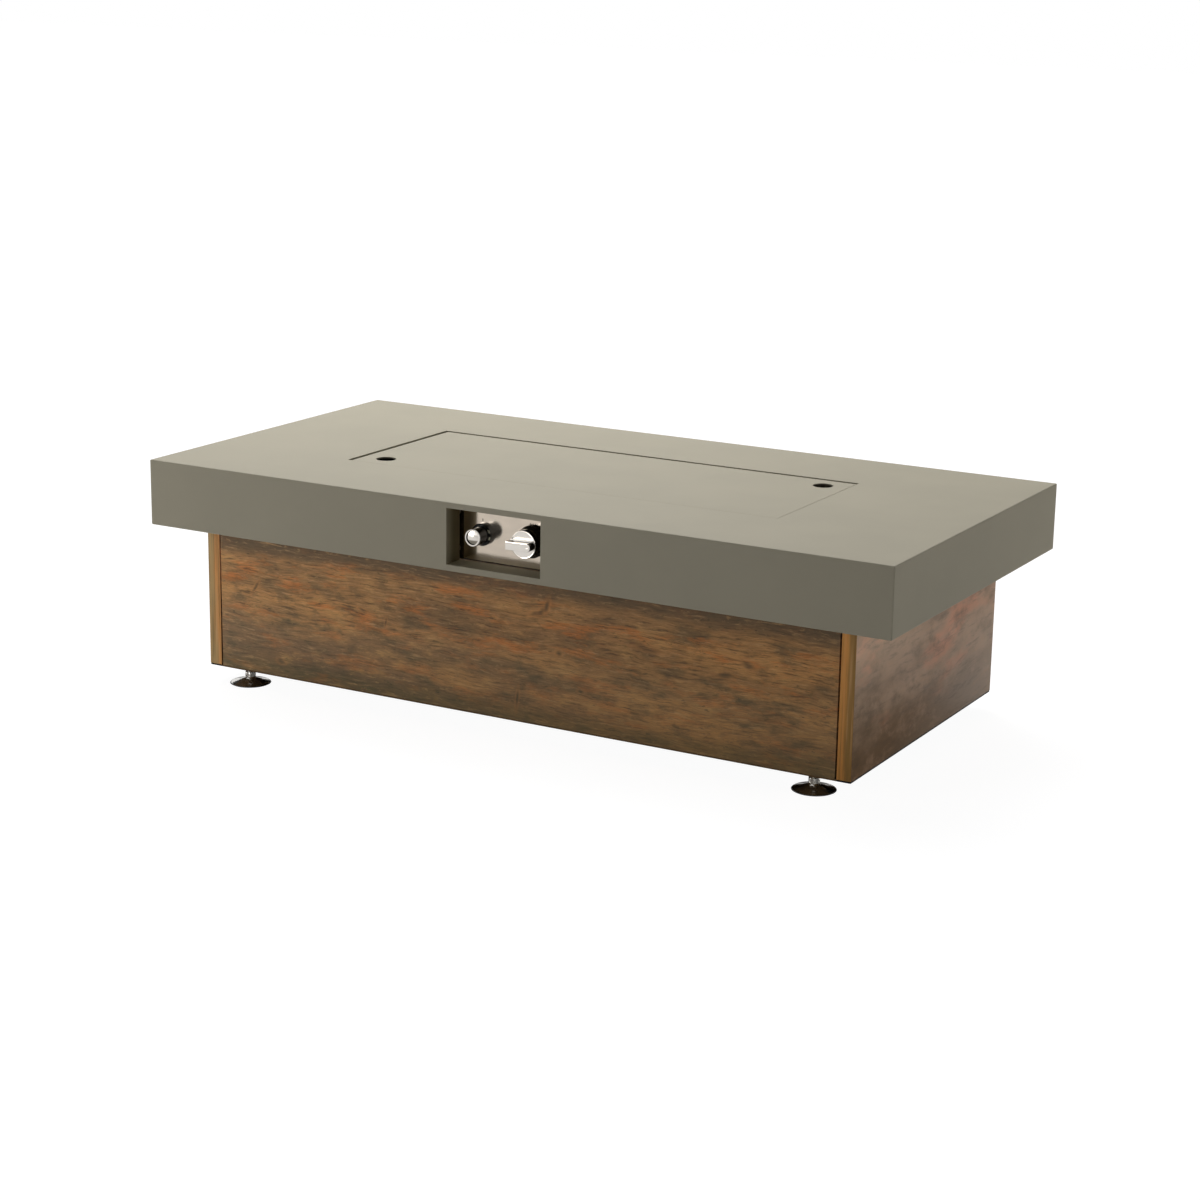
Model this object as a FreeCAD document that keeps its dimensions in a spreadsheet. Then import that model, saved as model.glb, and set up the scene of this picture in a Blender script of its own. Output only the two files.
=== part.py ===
import FreeCAD, Part
import math
import os
import Sketcher
from FreeCAD import Placement, Rotation, Vector

# A low gas fire pit table, in millimetres. The origin is on the floor under the middle of the table,
# +X is to the right of someone standing at the control panel, +Y to the back and +Z up.

doc = FreeCAD.newDocument("fire_pit_table")
sheet = doc.addObject("Spreadsheet::Sheet", "sizes")

# Driving sizes: each is written once, here.
DRIVING_SIZES = {
    # table top
    "top_length": 1372,
    "top_depth": 686,
    "top_height": 113,
    "deck_sheet": 3,
    "hem_width": 22,
    "top_round": 2,
    # lid and its cut-out
    "cutout_length": 815,
    "cutout_depth": 312,
    "lid_gap": 4.25,
    "lid_rest_gap": 0.5,
    "lid_sheet": 2,
    "lid_height": 14,
    "lid_round": 1,
    "finger_hole": 34,
    "finger_inset_end": 43,
    "finger_inset_side": 41,
    "seat_gap": 0.3,
    "ledge_width": 22,
    "ledge_sheet": 3,
    # base
    "base_height": 250,
    "foot_gap": 27,
    "end_overhang": 78.5,
    "side_overhang": 54,
    "end_panel": 24,
    "face_panel": 12,
    "panel_groove": 3,
    "rail_sheet": 3,
    "rail_width": 45,
    "rail_lip": 25,
    "rail_setback": 0.5,
    "frame_gap": 0.3,
    "post_leg": 30,
    "upper_rail_drop": 1,
    "upper_rail_leg": 30,
    "channel_from_cutout": 52.5,
    "channel_width": 40,
    "channel_end_gap": 6,
    # feet
    "foot_inset_end": 70,
    "foot_inset_side": 20.5,
    "disc_wide": 70.7,
    "disc_rim": 1.6,
    "disc_height": 12,
    "flare_wide": 44,
    "flare_height": 5,
    "shoulder_wide": 21.2,
    "shoulder_height": 9.4,
    "neck_wide": 17,
    "hexagon_flats": 17,
    "hexagon_height": 8,
    "foot_thread": 10,
    "foot_engaged": 24,
    "insert_wide": 15,
    "insert_height": 20,
    "thread_gap": 0.05,
    # fasteners
    "screw_wide": 4,
    "screw_head_wide": 8,
    "screw_head": 2.5,
    "screw_bite": 9,
    "screw_from_end": 45,
    "screw_on_leg": 18,
    "hole_gap": 0.1,
    "bolt_wide": 8,
    "bolt_flats": 13,
    "bolt_head": 5,
    "bolt_from_end": 20,
    # burner
    "pan_length": 762,
    "pan_depth": 254,
    "pan_drop": 76,
    "pan_sheet": 1.5,
    "pan_flange": 20,
    "burner_length": 660,
    "burner_wide": 25,
    "burner_wall": 1.5,
    "cross_wide": 22,
    "burner_spacing": 140,
    "burner_lift": 10,
    "burner_foot": 2,
    "port_wide": 3,
    "port_margin": 40,
    "hood_slot": 6,
    "hood_slot_height": 3,
    "elbow_wide": 18,
    "elbow_arm": 14,
    "elbow_level": 278,
    "media_height": 48,
    "media_gap": 0.3,
    "hood_offset": 90,
    "hood_front": 36,
    "hood_length": 50,
    "hood_depth": 30,
    "hood_above": 6,
    "hood_sheet": 1,
    "pan_wire_hole": 24,
    "ceramic_length": 30,
    "electrode_wide": 6,
    "electrode_tip": 2.4,
    "tip_gap": 3,
    "probe_wide": 5,
    "probe_spacing": 18,
    # control recess
    "opening_width": 175,
    "opening_height": 93,
    "opening_drop": 9.5,
    "reveal_depth": 40,
    "sleeve_sheet": 2,
    "ear_width": 16,
    "ear_screw_rise": 30,
    "plate_gap": 6.5,
    "plate_sheet": 2,
    "plate_below": 4.5,
    "plate_top_gap": 2,
    "spacer_wide": 9,
    "control_spacing": 92,
    # igniter, measured out from the front of the control plate
    "collar_wide": 37,
    "collar_thick": 7.5,
    "barrel_wide": 29,
    "barrel_reach": 34.5,
    "barrel_bore": 23,
    "barrel_floor": 9,
    "rim_round": 1,
    "tail_wide": 21.8,
    "tail_length": 14,
    "tail_bore": 15,
    "nut_flats": 30,
    "nut_height": 6,
    "housing_wide": 26,
    "housing_length": 52,
    "battery_wide": 14.4,
    "battery_length": 50,
    "button_gap": 0.3,
    "button_inset": 1.2,
    "button_skirt": 9,
    "button_rim": 3.2,
    "button_dish": 2,
    "dish_wide": 9,
    "button_travel": 3.5,
    "plunger_wide": 8,
    "igniter_wire": 1.2,
    "igniter_coil": 15,
    # valve and knob, measured out from the front of the control plate
    "valve_width": 46,
    "valve_depth": 46,
    "valve_height": 44,
    "nose_wide": 24,
    "nose_reach": 4,
    "port_boss_wide": 18,
    "port_boss_reach": 12,
    "port_spacing": 24,
    "port_drop": 8,
    "rotor_wide": 18,
    "rotor_near": 10,
    "rotor_far": 42,
    "stem_wide": 8,
    "stem_flat": 2.4,
    "stem_end": 32,
    "stem_in_knob": 24,
    "running_gap": 0.05,
    "knob_skirt_wide": 53,
    "knob_wide": 46,
    "knob_back": 5,
    "knob_skirt": 10,
    "knob_face": 30.5,
    "knob_clear": 0.6,
    "knob_hollow": 16,
    "knob_round": 1.5,
    "grip_width": 12,
    "grip_reach": 14,
    "grip_round": 5.4,
    "knob_travel": 4,
    "spring_clear": 0.4,
    "valve_wire": 1.2,
    "valve_coil": 15,
    "valve_screw_spacing": 34,
    # gas and ignition lines
    "supply_wide": 12,
    "supply_level": 262,
    "supply_bend": 28,
    "burner_line_wide": 10,
    "burner_line_bend": 20,
    "line_turn": 58,
    "inlet_height": 90,
    "inlet_set_in": 64,
    "inlet_thread": 15.88,
    "inlet_thread_length": 18,
    "inlet_flats": 26,
    "inlet_flange": 8,
    "inlet_body": 19,
    "inlet_tail": 22,
    "inlet_bore": 8,
    "lock_nut": 6,
    "wire_wide": 3,
    "wire_level": 288,
    "wire_bend": 9,
    "wire_last_run": 45,
    "lead_turn": 29,
}


class Size:
    """A length that knows its number and the formula over the sheet that gives it."""

    def __init__(self, number, text):
        self.number = number
        self.text = text

    def __add__(self, other):
        return Size(self.number + number_of(other), f"({self.text} + {text_of(other)})")

    def __radd__(self, other):
        return Size(number_of(other) + self.number, f"({text_of(other)} + {self.text})")

    def __sub__(self, other):
        return Size(self.number - number_of(other), f"({self.text} - {text_of(other)})")

    def __rsub__(self, other):
        return Size(number_of(other) - self.number, f"({text_of(other)} - {self.text})")

    def __mul__(self, other):
        return Size(self.number * number_of(other), f"({self.text} * {text_of(other)})")

    def __rmul__(self, other):
        return Size(number_of(other) * self.number, f"({text_of(other)} * {self.text})")

    def __truediv__(self, other):
        return Size(self.number / number_of(other), f"({self.text} / {text_of(other)})")

    def __neg__(self):
        return Size(-self.number, f"(-1 * {self.text})")


def number_of(value):
    return value.number if isinstance(value, Size) else value


def text_of(value):
    return value.text if isinstance(value, Size) else repr(value)


class Sizes:
    """The driving sizes by name."""


size = Sizes()
for row, (alias, number) in enumerate(DRIVING_SIZES.items(), start=1):
    sheet.set(f"A{row}", alias.replace("_", " "))
    sheet.set(f"B{row}", str(number))
    sheet.setAlias(f"B{row}", alias)
    setattr(size, alias, Size(float(number), f"sizes.{alias}"))
doc.recompute()

SUB_PARTS = []
PORTS_A_SIDE = 20
SPRING_TURNS = 4
ALONG_X = Rotation(Vector(0, 1, 0), 90)
ALONG_Y = Rotation(Vector(1, 0, 0), -90)
OUT_OF_FRONT = Rotation(Vector(1, 0, 0), 90)
UP = Rotation()


# Ways of making things

def bind(item, path, value):
    """Tie one property of an item to a size."""
    item.setExpression(path, text_of(value))


def put(item, spot, turn=UP):
    """Place an item: its own origin goes to the spot, turned as asked."""
    item.Placement = Placement(Vector(*[number_of(value) for value in spot]), turn)
    for axis, value in zip("xyz", spot):
        bind(item, f"Placement.Base.{axis}", value)
    return item


def sub_part(item, name):
    """Enter an item as a sub-part under the name of its file."""
    item.Label = name
    SUB_PARTS.append(item)
    return item


def block(name, low, high):
    """A box between its lowest and its highest corner."""
    item = doc.addObject("Part::Box", name)
    for path, near, far in zip(("Length", "Width", "Height"), low, high):
        bind(item, path, far - near)
    return put(item, low)


def rod(name, foot, wide, length, turn=UP):
    """A round bar of a given diameter that starts at a point and runs along its turned Z axis."""
    item = doc.addObject("Part::Cylinder", name)
    bind(item, "Radius", wide / 2)
    bind(item, "Height", length)
    return put(item, foot, turn)


def hexagon(name, foot, flats, length, turn=UP):
    """A hexagonal bar of a given width across its flats."""
    item = doc.addObject("Part::Prism", name)
    item.Polygon = 6
    bind(item, "Circumradius", flats / (2 * math.cos(math.radians(30))))
    bind(item, "Height", length)
    return put(item, foot, turn)


def join(name, items):
    """One solid out of several that touch or overlap."""
    item = doc.addObject("Part::MultiFuse", name)
    item.Shapes = items
    item.Refine = True
    return item


def group(name, items):
    """Separate solids under one name."""
    item = doc.addObject("Part::Compound", name)
    item.Links = items
    return item


def cut(name, base, tools):
    """A base with every tool taken out of it."""
    item = doc.addObject("Part::Cut", name)
    item.Base = base
    item.Tool = tools[0] if len(tools) == 1 else join(f"{name}_tools", tools)
    item.Refine = True
    return item


def sketch_on(body, name, role, level=0):
    """A sketch on one of the body's own planes, moved along the plane's normal."""
    plane = next(feature for feature in body.Origin.OriginFeatures if feature.Role == role)
    drawing = body.newObject("Sketcher::SketchObject", name)
    drawing.AttachmentSupport = [(plane, "")]
    drawing.MapMode = "FlatFace"
    bind(drawing, "AttachmentOffset.Base.z", level)
    return drawing


def pin(drawing, item, end, across, up):
    """Hold one point of a sketch at a distance across and up from the sketch's origin."""
    for kind, axis, value in (("DistanceX", -2, across), ("DistanceY", -1, up)):
        if number_of(value) == 0:
            drawing.addConstraint(Sketcher.Constraint("PointOnObject", item, end, axis))
        else:
            index = drawing.addConstraint(
                Sketcher.Constraint(kind, -1, 1, item, end, number_of(value)))
            bind(drawing, f"Constraints[{index}]", value)


def outline(drawing, corners):
    """A closed outline with straight sides through its corners."""
    spots = [Vector(number_of(across), number_of(up), 0) for across, up in corners]
    first = drawing.GeometryCount
    count = len(corners)
    for index, spot in enumerate(spots):
        drawing.addGeometry(Part.LineSegment(spot, spots[(index + 1) % count]), False)
    for index in range(count):
        following = first + (index + 1) % count
        drawing.addConstraint(Sketcher.Constraint("Coincident", first + index, 2, following, 1))
    for index, (across, up) in enumerate(corners):
        pin(drawing, first + index, 1, across, up)
    return drawing


def rectangle(drawing, low, high):
    """A rectangle between two corners."""
    return outline(drawing, [low, (high[0], low[1]), high, (low[0], high[1])])


def circle(drawing, across, up, wide):
    """A circle of a given diameter."""
    centre = Vector(number_of(across), number_of(up), 0)
    index = drawing.addGeometry(Part.Circle(centre, Vector(0, 0, 1), number_of(wide) / 2), False)
    pin(drawing, index, 3, across, up)
    rule = drawing.addConstraint(Sketcher.Constraint("Diameter", index, number_of(wide)))
    bind(drawing, f"Constraints[{rule}]", wide)
    return drawing


def feature(body, kind, drawing, length, reverse=False):
    """A pad or pocket of a sketch, checked to add to or take from the body."""
    doc.recompute()
    before = body.Shape.Volume if body.Tip else 0
    item = body.newObject(f"PartDesign::{kind}", f"{drawing.Name}_{kind.lower()}")
    item.Profile = drawing
    item.Reversed = reverse
    bind(item, "Length", length)
    doc.recompute()
    change = body.Shape.Volume - before
    if (change <= 0) == (kind == "Pad"):
        raise RuntimeError(f"{item.Name} changed the volume by {change}")
    return item


def turned(name, profile):
    """A body turned about its own Z axis from (radius, height) points."""
    body = doc.addObject("PartDesign::Body", name)
    drawing = outline(sketch_on(body, f"{name}_profile", "XZ_Plane"), profile)
    item = body.newObject("PartDesign::Revolution", f"{name}_turned")
    item.Profile = drawing
    item.ReferenceAxis = (drawing, ["V_Axis"])
    item.Angle = 360
    doc.recompute()
    return body


def round_edges(body, name, radius, chosen):
    """Round the edges of a body that a test picks out."""
    doc.recompute()
    names = [f"Edge{index}" for index, edge in enumerate(body.Tip.Shape.Edges, start=1) if chosen(edge)]
    if not names:
        raise RuntimeError(f"{name} found no edge to round")
    item = body.newObject("PartDesign::Fillet", name)
    item.Base = (item.BaseFeature, names)
    bind(item, "Radius", radius)
    doc.recompute()
    return item


def edge_at(edge, axis, number):
    """Whether a whole edge lies at one coordinate."""
    box = edge.BoundBox
    low, high = {"x": (box.XMin, box.XMax), "y": (box.YMin, box.YMax), "z": (box.ZMin, box.ZMax)}[axis]
    return abs(low - number) < 1e-4 and abs(high - number) < 1e-4


def rounded_route(points, bend):
    """A wire of straight runs joined by tangent arcs of one radius."""
    spots = [Vector(*[number_of(value) for value in point]) for point in points]
    edges = []
    start = spots[0]
    for before, corner, after in zip(spots, spots[1:], spots[2:]):
        back = (before - corner).normalize()
        ahead = (after - corner).normalize()
        half = (math.pi - back.getAngle(ahead)) / 2
        reach = number_of(bend) * math.tan(half)
        middle = (back + ahead).normalize()
        centre = corner + middle * (number_of(bend) / math.cos(half))
        into, out_of = corner + back * reach, corner + ahead * reach
        edges.append(Part.LineSegment(start, into).toShape())
        edges.append(Part.Arc(into, centre - middle * number_of(bend), out_of).toShape())
        start = out_of
    edges.append(Part.LineSegment(start, spots[-1]).toShape())
    return Part.Wire(edges)


def pipe(name, points, wide, bend):
    """A round line along a route, with arcs of one radius at its corners."""
    path = rounded_route(points, bend)
    first = path.Edges[0]
    start, ahead = first.valueAt(first.FirstParameter), first.tangentAt(first.FirstParameter)
    section = Part.Wire(Part.Circle(start, ahead, number_of(wide) / 2).toShape())
    solid = path.makePipeShell([section], True, False)
    ideal = math.pi * (number_of(wide) / 2) ** 2 * path.Length
    print(f"{name}: length {path.Length:.1f}, volume over section times length {solid.Volume / ideal:.4f}")
    item = doc.addObject("Part::Feature", name)
    item.Shape = solid
    return item


def coil(name, centre, wide, wire, start, length, turns):
    """A closed coil spring along Y, out of half-turn arcs, that starts at one Y and runs to the front."""
    radius = (number_of(wide) - number_of(wire)) / 2
    rise = number_of(length) - number_of(wire)
    low = number_of(start) - number_of(wire) / 2

    def spot(turn):
        angle = 2 * math.pi * turn
        away = Vector(radius * math.cos(angle), -rise * turn / turns, radius * math.sin(angle))
        return Vector(number_of(centre[0]), low, number_of(centre[1])) + away

    edges = []
    for half in range(2 * turns):
        near = half / 2
        edges.append(Part.Arc(spot(near), spot(near + 0.25), spot(near + 0.5)).toShape())
    path = Part.Wire(edges)
    first = path.Edges[0]
    beginning = first.valueAt(first.FirstParameter)
    ahead = first.tangentAt(first.FirstParameter)
    section = Part.Wire(Part.Circle(beginning, ahead, number_of(wire) / 2).toShape())
    item = doc.addObject("Part::Feature", name)
    item.Shape = path.makePipeShell([section], True, False)
    print(f"{name}: least gap between turns {rise / turns - number_of(wire):.2f}")
    return item


# Levels and faces that several pieces share

half_length = size.top_length / 2
half_depth = size.top_depth / 2
base_half_length = half_length - size.end_overhang
base_half_depth = half_depth - size.side_overhang
base_top = size.foot_gap + size.base_height
top_level = base_top + size.top_height
deck_under = top_level - size.deck_sheet
end_inner = base_half_length - size.end_panel
face_inner = base_half_depth - size.face_panel
rail_top = size.foot_gap + size.rail_sheet
upper_rail_top = base_top - size.upper_rail_drop
lid_bottom = top_level - size.lid_height
flange_top = lid_bottom - size.seat_gap
ledge_top = flange_top - size.pan_sheet
pan_under = flange_top - size.pan_drop
pan_floor = pan_under + size.pan_sheet
cutout_half_length = size.cutout_length / 2
cutout_half_depth = size.cutout_depth / 2
front_face = -half_depth
sleeve_front = front_face + size.deck_sheet
sleeve_back = front_face + size.reveal_depth
plate_front = sleeve_back + size.plate_gap
plate_back = plate_front + size.plate_sheet
opening_top = top_level - size.opening_drop
opening_bottom = opening_top - size.opening_height
opening_half = size.opening_width / 2
control_level = opening_bottom + size.opening_height / 2
igniter_x = -size.control_spacing / 2
knob_x = size.control_spacing / 2
ear_screw_x = opening_half + size.sleeve_sheet + size.ear_width / 2


# Table top: a folded deck with welded aprons, hemmed inwards at the bottom

def make_table_top():
    body = doc.addObject("PartDesign::Body", "table_top_body")
    plan = sketch_on(body, "top_plan", "XY_Plane")
    rectangle(plan, (-half_length, -half_depth), (half_length, half_depth))
    feature(body, "Pad", plan, size.top_height)
    half_x, half_y = half_length.number, half_depth.number

    def outer(edge):
        on_end = edge_at(edge, "x", half_x) or edge_at(edge, "x", -half_x)
        on_side = edge_at(edge, "y", half_y) or edge_at(edge, "y", -half_y)
        return on_end or on_side

    round_edges(body, "top_edges", size.top_round, outer)
    mouth = sketch_on(body, "top_mouth", "XY_Plane")
    mouth_x = half_length - size.hem_width
    mouth_y = half_depth - size.hem_width
    rectangle(mouth, (-mouth_x, -mouth_y), (mouth_x, mouth_y))
    feature(body, "Pocket", mouth, size.top_height - size.deck_sheet, reverse=True)
    hollow = sketch_on(body, "top_hollow", "XY_Plane", size.deck_sheet)
    hollow_x = half_length - size.deck_sheet
    hollow_y = half_depth - size.deck_sheet
    rectangle(hollow, (-hollow_x, -hollow_y), (hollow_x, hollow_y))
    feature(body, "Pocket", hollow, size.top_height - 2 * size.deck_sheet, reverse=True)
    cutout = sketch_on(body, "lid_cutout", "XY_Plane")
    rectangle(cutout, (-cutout_half_length, -cutout_half_depth), (cutout_half_length, cutout_half_depth))
    feature(body, "Pocket", cutout, size.top_height, reverse=True)
    opening = sketch_on(body, "control_opening", "XZ_Plane", half_depth)
    low = opening_bottom - base_top
    rectangle(opening, (-opening_half, low), (opening_half, low + size.opening_height))
    feature(body, "Pocket", opening, size.deck_sheet)
    return sub_part(put(body, (0, 0, base_top)), "table_top")


# Control sleeve: the reveal behind the opening, with an ear each side for the control plate

def make_control_sleeve():
    wall = size.sleeve_sheet
    outer = block("sleeve_outer", (-opening_half - wall, sleeve_front, opening_bottom - wall),
                  (opening_half + wall, sleeve_back, opening_top + wall))
    bore = block("sleeve_bore", (-opening_half, sleeve_front, opening_bottom),
                 (opening_half, sleeve_back, opening_top))
    ear_reach = opening_half + wall + size.ear_width
    ears = block("sleeve_ears", (-ear_reach, sleeve_back - wall, opening_bottom - wall),
                 (ear_reach, sleeve_back, opening_top + wall))
    holes = [rod("ear_hole", (side * ear_screw_x, sleeve_front, control_level + rise),
                 size.screw_wide + 2 * size.hole_gap, size.reveal_depth, ALONG_Y)
             for side in (-1, 1) for rise in (-size.ear_screw_rise, size.ear_screw_rise)]
    return sub_part(cut("control_sleeve", join("sleeve_shell", [outer, ears]), [bore] + holes),
                    "control_sleeve")


# Control plate on four spacers behind the sleeve, held by screws

def make_control_plate():
    reach = opening_half + size.sleeve_sheet + size.ear_width
    bottom = opening_bottom - size.plate_below
    plate = block("plate_blank", (-reach, plate_front, bottom),
                  (reach, plate_back, deck_under - size.plate_top_gap))
    holes = [rod("plate_screw_hole", (side * ear_screw_x, plate_front, control_level + rise),
                 size.screw_wide + 2 * size.hole_gap, size.plate_sheet, ALONG_Y)
             for side in (-1, 1) for rise in (-size.ear_screw_rise, size.ear_screw_rise)]
    holes.append(rod("igniter_hole", (igniter_x, plate_front, control_level),
                     size.tail_wide + 2 * size.hole_gap, size.plate_sheet, ALONG_Y))
    holes.append(rod("valve_hole", (knob_x, plate_front, control_level),
                     size.nose_wide + 2 * size.hole_gap, size.plate_sheet, ALONG_Y))
    for side in (-1, 1):
        spot = (knob_x + side * size.valve_screw_spacing / 2, plate_front, control_level)
        holes.append(rod("valve_screw_hole", spot, size.screw_wide + 2 * size.hole_gap,
                         size.plate_sheet, ALONG_Y))
    sub_part(cut("control_plate", plate, holes), "control_plate")
    spacers = []
    screws = []
    for side in (-1, 1):
        for rise in (-size.ear_screw_rise, size.ear_screw_rise):
            spot = (side * ear_screw_x, sleeve_back, control_level + rise)
            tube = rod("spacer_outer", spot, size.spacer_wide, size.plate_gap, ALONG_Y)
            hole = rod("spacer_bore", spot, size.screw_wide + 2 * size.hole_gap, size.plate_gap, ALONG_Y)
            spacers.append(cut("spacer", tube, [hole]))
            head = rod("plate_screw_head", (spot[0], plate_back, spot[2]), size.screw_head_wide,
                       size.screw_head, ALONG_Y)
            shank_start = sleeve_back - 2 * size.sleeve_sheet
            shank = rod("plate_screw_shank", (spot[0], shank_start, spot[2]), size.screw_wide,
                        plate_back - shank_start, ALONG_Y)
            screws.append(join("plate_screw", [head, shank]))
    sub_part(group("plate_spacers", spacers), "plate_spacers")
    sub_part(group("plate_screws", screws), "plate_screws")


# Lid ledge: an angle frame hung under the deck around the cut-out

def make_lid_ledge():
    wall = size.ledge_sheet
    low = ledge_top - wall
    outer = block("ledge_outer", (-cutout_half_length - wall, -cutout_half_depth - wall, low),
                  (cutout_half_length + wall, cutout_half_depth + wall, deck_under))
    recess = block("ledge_recess", (-cutout_half_length, -cutout_half_depth, ledge_top),
                   (cutout_half_length, cutout_half_depth, deck_under))
    inner_x = cutout_half_length - size.ledge_width
    inner_y = cutout_half_depth - size.ledge_width
    window = block("ledge_window", (-inner_x, -inner_y, low), (inner_x, inner_y, deck_under))
    sub_part(cut("lid_ledge", outer, [recess, window]), "lid_ledge")


# Lid: a loose folded tray, upside down, that lies against the right and front of its cut-out

def make_lid():
    lid_half_length = cutout_half_length - size.lid_gap
    lid_half_depth = cutout_half_depth - size.lid_gap
    shift = size.lid_gap - size.lid_rest_gap
    body = doc.addObject("PartDesign::Body", "burner_lid_body")
    plan = sketch_on(body, "lid_plan", "XY_Plane")
    rectangle(plan, (-lid_half_length, -lid_half_depth), (lid_half_length, lid_half_depth))
    feature(body, "Pad", plan, size.lid_height)
    height = size.lid_height.number

    def rim(edge):
        upright = edge.BoundBox.ZLength > height / 2
        return upright or edge_at(edge, "z", height)

    round_edges(body, "lid_edges", size.lid_round, rim)
    inside = sketch_on(body, "lid_inside", "XY_Plane")
    inside_x = lid_half_length - size.lid_sheet
    inside_y = lid_half_depth - size.lid_sheet
    rectangle(inside, (-inside_x, -inside_y), (inside_x, inside_y))
    feature(body, "Pocket", inside, size.lid_height - size.lid_sheet, reverse=True)
    fingers = sketch_on(body, "finger_holes", "XY_Plane")
    finger_x = lid_half_length - size.finger_inset_end
    finger_y = lid_half_depth - size.finger_inset_side
    circle(fingers, -finger_x, -finger_y, size.finger_hole)
    circle(fingers, finger_x, finger_y, size.finger_hole)
    feature(body, "Pocket", fingers, size.lid_height, reverse=True)
    sub_part(put(body, (shift, -shift, lid_bottom)), "burner_lid")


# Burner pan: a drop-in trough hung by its flanges on the ledge, with an end plate welded on at each end

def make_burner_pan():
    pan_x = size.pan_length / 2
    pan_y = size.pan_depth / 2
    inside_x = pan_x - size.pan_sheet
    inside_y = pan_y - size.pan_sheet
    flange_x = pan_x + size.pan_flange
    flange_y = pan_y + size.pan_flange
    body = doc.addObject("PartDesign::Body", "burner_pan_body")
    trough = sketch_on(body, "pan_trough", "XY_Plane")
    rectangle(trough, (-inside_x, -pan_y), (inside_x, pan_y))
    feature(body, "Pad", trough, size.pan_drop)
    flange = sketch_on(body, "pan_rim", "XY_Plane", size.pan_drop - size.pan_sheet)
    rectangle(flange, (-inside_x, -flange_y), (inside_x, flange_y))
    feature(body, "Pad", flange, size.pan_sheet)
    inside = sketch_on(body, "pan_inside", "XY_Plane", size.pan_sheet)
    rectangle(inside, (-inside_x, -inside_y), (inside_x, inside_y))
    feature(body, "Pocket", inside, size.pan_drop, reverse=True)
    holes = sketch_on(body, "pan_holes", "XY_Plane")
    circle(holes, 0, 0, size.elbow_wide + 2 * size.hole_gap)
    circle(holes, -size.hood_offset, -size.hood_front, size.pan_wire_hole)
    feature(body, "Pocket", holes, size.pan_sheet, reverse=True)
    sub_part(put(body, (0, 0, pan_under)), "burner_pan")

    for name, side in (("pan_end_left", -1), ("pan_end_right", 1)):
        plate_x = sorted((side * inside_x, side * pan_x), key=number_of)
        reach_x = sorted((side * inside_x, side * flange_x), key=number_of)
        plate = block(f"{name}_plate", (plate_x[0], -pan_y, pan_under), (plate_x[1], pan_y, flange_top))
        lip = block(f"{name}_lip", (reach_x[0], -flange_y, ledge_top), (reach_x[1], flange_y, flange_top))
        sub_part(join(name, [plate, lip]), name)


# Burner: two ported tubes joined by a cross tube, on welded end feet

def make_burner_tube():
    level = pan_floor + size.burner_lift + size.burner_wide / 2
    half = size.burner_length / 2
    side = size.burner_spacing / 2
    bore = size.burner_wide - 2 * size.burner_wall
    tubes = [rod("burner_side", (-half, edge * side, level), size.burner_wide, size.burner_length, ALONG_X)
             for edge in (-1, 1)]
    tubes.append(rod("burner_cross", (0, -side, level), size.cross_wide, size.burner_spacing, ALONG_Y))
    for end in (-1, 1):
        middle = end * (half - 2 * size.burner_foot)
        for edge in (-1, 1):
            tubes.append(block("burner_foot", (middle - size.burner_foot, edge * side - bore / 2, pan_floor),
                               (middle + size.burner_foot, edge * side + bore / 2, level)))
    bores = [rod("side_bore", (size.burner_wall - half, edge * side, level), bore,
                 size.burner_length - 2 * size.burner_wall, ALONG_X) for edge in (-1, 1)]
    bores.append(rod("cross_bore", (0, -side, level), size.cross_wide - 2 * size.burner_wall,
                     size.burner_spacing, ALONG_Y))
    bores.append(rod("burner_inlet", (0, 0, pan_floor), size.elbow_wide + 2 * size.hole_gap,
                     level - pan_floor))
    pitch = (size.burner_length - 2 * size.port_margin) / (PORTS_A_SIDE - 1)
    for edge in (-1, 1):
        for index in range(PORTS_A_SIDE):
            spot = (size.port_margin - half + index * pitch, edge * side, level)
            bores.append(rod("burner_port", spot, size.port_wide, size.burner_wide))
    sub_part(cut("burner_tube", join("burner_shell", tubes), bores), "burner_tube")


# Elbow with the orifice: feeds the burner through the pan's floor

def make_burner_elbow():
    wide = size.elbow_wide
    top = pan_floor + size.burner_lift + size.burner_wide / 2 - size.cross_wide / 2 + size.burner_wall
    upright = rod("elbow_upright", (0, 0, size.elbow_level - wide / 2), wide,
                  top - size.elbow_level + wide / 2)
    arm = rod("elbow_arm", (0, -wide, size.elbow_level), size.elbow_arm, wide, ALONG_Y)
    bore_wide = size.burner_line_wide - 2 * size.burner_wall
    bore = rod("elbow_bore", (0, 0, size.elbow_level), bore_wide, size.top_height)
    inlet = rod("elbow_inlet", (0, -wide, size.elbow_level), bore_wide, wide, ALONG_Y)
    sub_part(cut("burner_elbow", join("elbow_blank", [upright, arm]), [bore, inlet]), "burner_elbow")


# Ignition hood on the pan's floor, over the spark electrode and the thermocouple

def hood_corners(gap=0):
    top = pan_floor + size.media_height + size.hood_above
    low = (-size.hood_offset - size.hood_length / 2 - gap, -size.hood_front - size.hood_depth / 2 - gap,
           pan_floor)
    high = (-size.hood_offset + size.hood_length / 2 + gap, -size.hood_front + size.hood_depth / 2 + gap,
            top + gap)
    return low, high


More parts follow.
